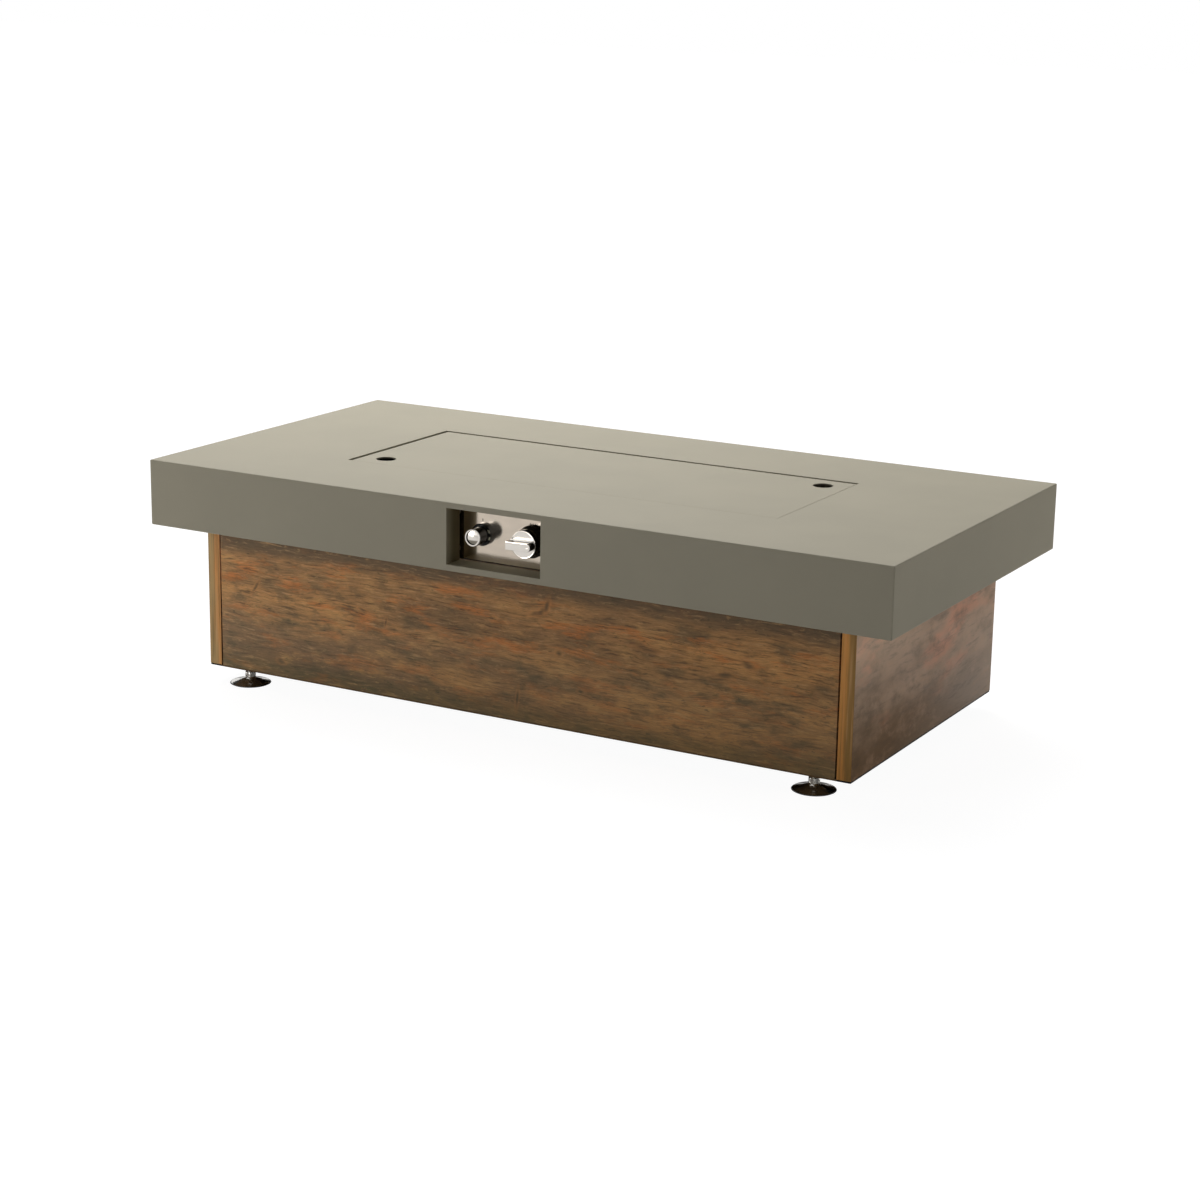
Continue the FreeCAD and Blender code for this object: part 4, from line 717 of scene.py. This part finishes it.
def grip_ring(outward, ahead):
    """The outline of the grip moved outward, so far ahead of the knob's back, both in millimetres."""
    half, end = GRIP_HALF + outward, GRIP_END + outward
    points = [(GRIP_END - GRIP_HALF + half * math.sin(turn), half * math.cos(turn))
              for turn in (math.pi * step / ROUND_SIDE for step in range(ROUND_SIDE + 1))]
    points += [(0.4 - end, -half), (-end, 0.4 - half), (-end, half - 0.4), (0.4 - end, half)]
    return [(x, back - ahead / 1000, z) for x, z in (tilted(*point) for point in points)]


knob = bmesh.new()
skin(knob, [around_y(KNOB, back, radius, ahead, turns(96)) for radius, ahead in DISC])
skin(knob, [grip_ring(outward, ahead) for outward, ahead in GRIP_STEPS])
caps = [face for face in knob.faces if len(face.verts) > 4]
front = min(caps, key=lambda face: face.calc_center_median().y)
rows = [front.verts[:]]
knob.faces.remove(front)
middle = tilted(GRIP_END - GRIP_HALF, 0)
angles = [math.atan2(corner.co.z - middle[1], corner.co.x - middle[0]) for corner in rows[0]]
for radius, ahead in DIMPLE:
    rows.append([knob.verts.new(point) for point in around_y(middle, back, radius, ahead, angles)])
join(knob, rows)
knob.faces.new(rows[-1])
two_tone.on(piece("control_knob", knob, "knob", "valve_knob"))


# Studio
# A plain pale floor, a wide soft light from above, softboxes high behind on the left, low in front on the
# left and on the right, and a surround that is white to the camera and in mirror images but sheds next to
# no light.

def in_view(tree, mirrored):
    """1 for rays seen straight or through glass, the number mirrored for rays seen in mirror images."""
    path = tree.nodes.new("ShaderNodeLightPath")
    camera, glossy, through = (Field(path.outputs[f"Is {kind} Ray"])
                               for kind in ("Camera", "Glossy", "Transmission"))
    return glossy * mirrored + camera + through


bpy.ops.mesh.primitive_plane_add(size=40)
floor = bpy.context.object
floor.name = "floor"
ground = bpy.data.materials.new("floor")
ground.use_nodes = True
floor.data.materials.append(ground)
ground.node_tree.nodes.clear()
seen = in_view(ground.node_tree, 0.1)
plain = seen.node("BsdfDiffuse", None, {"Color": (0.78, 0.78, 0.78, 1)})
glow = seen.node("Emission", None, {"Strength": 0.95})
pale = seen.node("BsdfDiffuse", None, {"Color": (0.18, 0.18, 0.18, 1)})
lit = seen.node("AddShader", None, {0: glow, 1: pale})
chosen = seen.node("MixShader", None, {0: seen, 1: plain, 2: lit})
surface = ground.node_tree.nodes.new("ShaderNodeOutputMaterial").inputs["Surface"]
ground.node_tree.links.new(chosen.socket, surface)

world = bpy.data.worlds.new("studio")
bpy.context.scene.world = world
world.use_nodes = True
air = world.node_tree.nodes["Background"]
strength = in_view(world.node_tree, 1) * 0.98 + 0.02
world.node_tree.links.new(strength.socket, air.inputs["Strength"])
air.inputs["Color"].default_value = (1, 1, 1, 1)


def light(name, kind, place, aim, energy):
    """A light at place that faces the point aim."""
    lamp = bpy.data.lights.new(name, kind)
    lamp.energy = energy
    holder = bpy.data.objects.new(name, lamp)
    holder.location = place
    holder.rotation_euler = (Vector(aim) - Vector(place)).to_track_quat("-Z", "Y").to_euler()
    bpy.context.scene.collection.objects.link(holder)
    return lamp


light("sky", "SUN", (0, 0, 0), (0.7, -0.5, -1), 1.35).angle = math.radians(60)
light("high_back_left", "AREA", (-1.2, 1.2, 2.4), (0, 0, 0.35), 54).size = 2.0
light("low_front_left", "AREA", (-2.2, -3.0, 0.8), (0, 0, 0.25), 29).size = 1.5
light("right_side", "AREA", (3.5, 0.8, 0.8), (0.5, 0, 0.25), 17).size = 1.5


# Camera
# Where the photograph was taken from, fitted to the corners of the top, the base and the lid. The picture
# is square, and the focal length is given in its pixels.

FRAME_PIXELS = 1200
FOCAL_PIXELS = 2598.2
EYE = (2.100, -3.7485, 1.2943)
AZIMUTH, ELEVATION, ROLL = (math.radians(angle) for angle in (29.209, 14.72, 0.96))

lens = bpy.data.cameras.new("camera")
lens.sensor_width = 36.0
lens.lens = FOCAL_PIXELS / FRAME_PIXELS * lens.sensor_width
camera = bpy.data.objects.new("camera", lens)
behind = Vector((math.sin(AZIMUTH) * math.cos(ELEVATION), -math.cos(AZIMUTH) * math.cos(ELEVATION),
                 math.sin(ELEVATION)))
level_right = (-behind).cross(Vector((0, 0, 1))).normalized()
level_up = level_right.cross(-behind)
right = level_right * math.cos(ROLL) + level_up * math.sin(ROLL)
up = level_up * math.cos(ROLL) - level_right * math.sin(ROLL)
turned = Matrix((right, up, behind)).transposed().to_4x4()
camera.matrix_world = Matrix.Translation(EYE) @ turned
bpy.context.scene.collection.objects.link(camera)
bpy.context.scene.camera = camera
bpy.context.scene.view_settings.view_transform = "Standard"
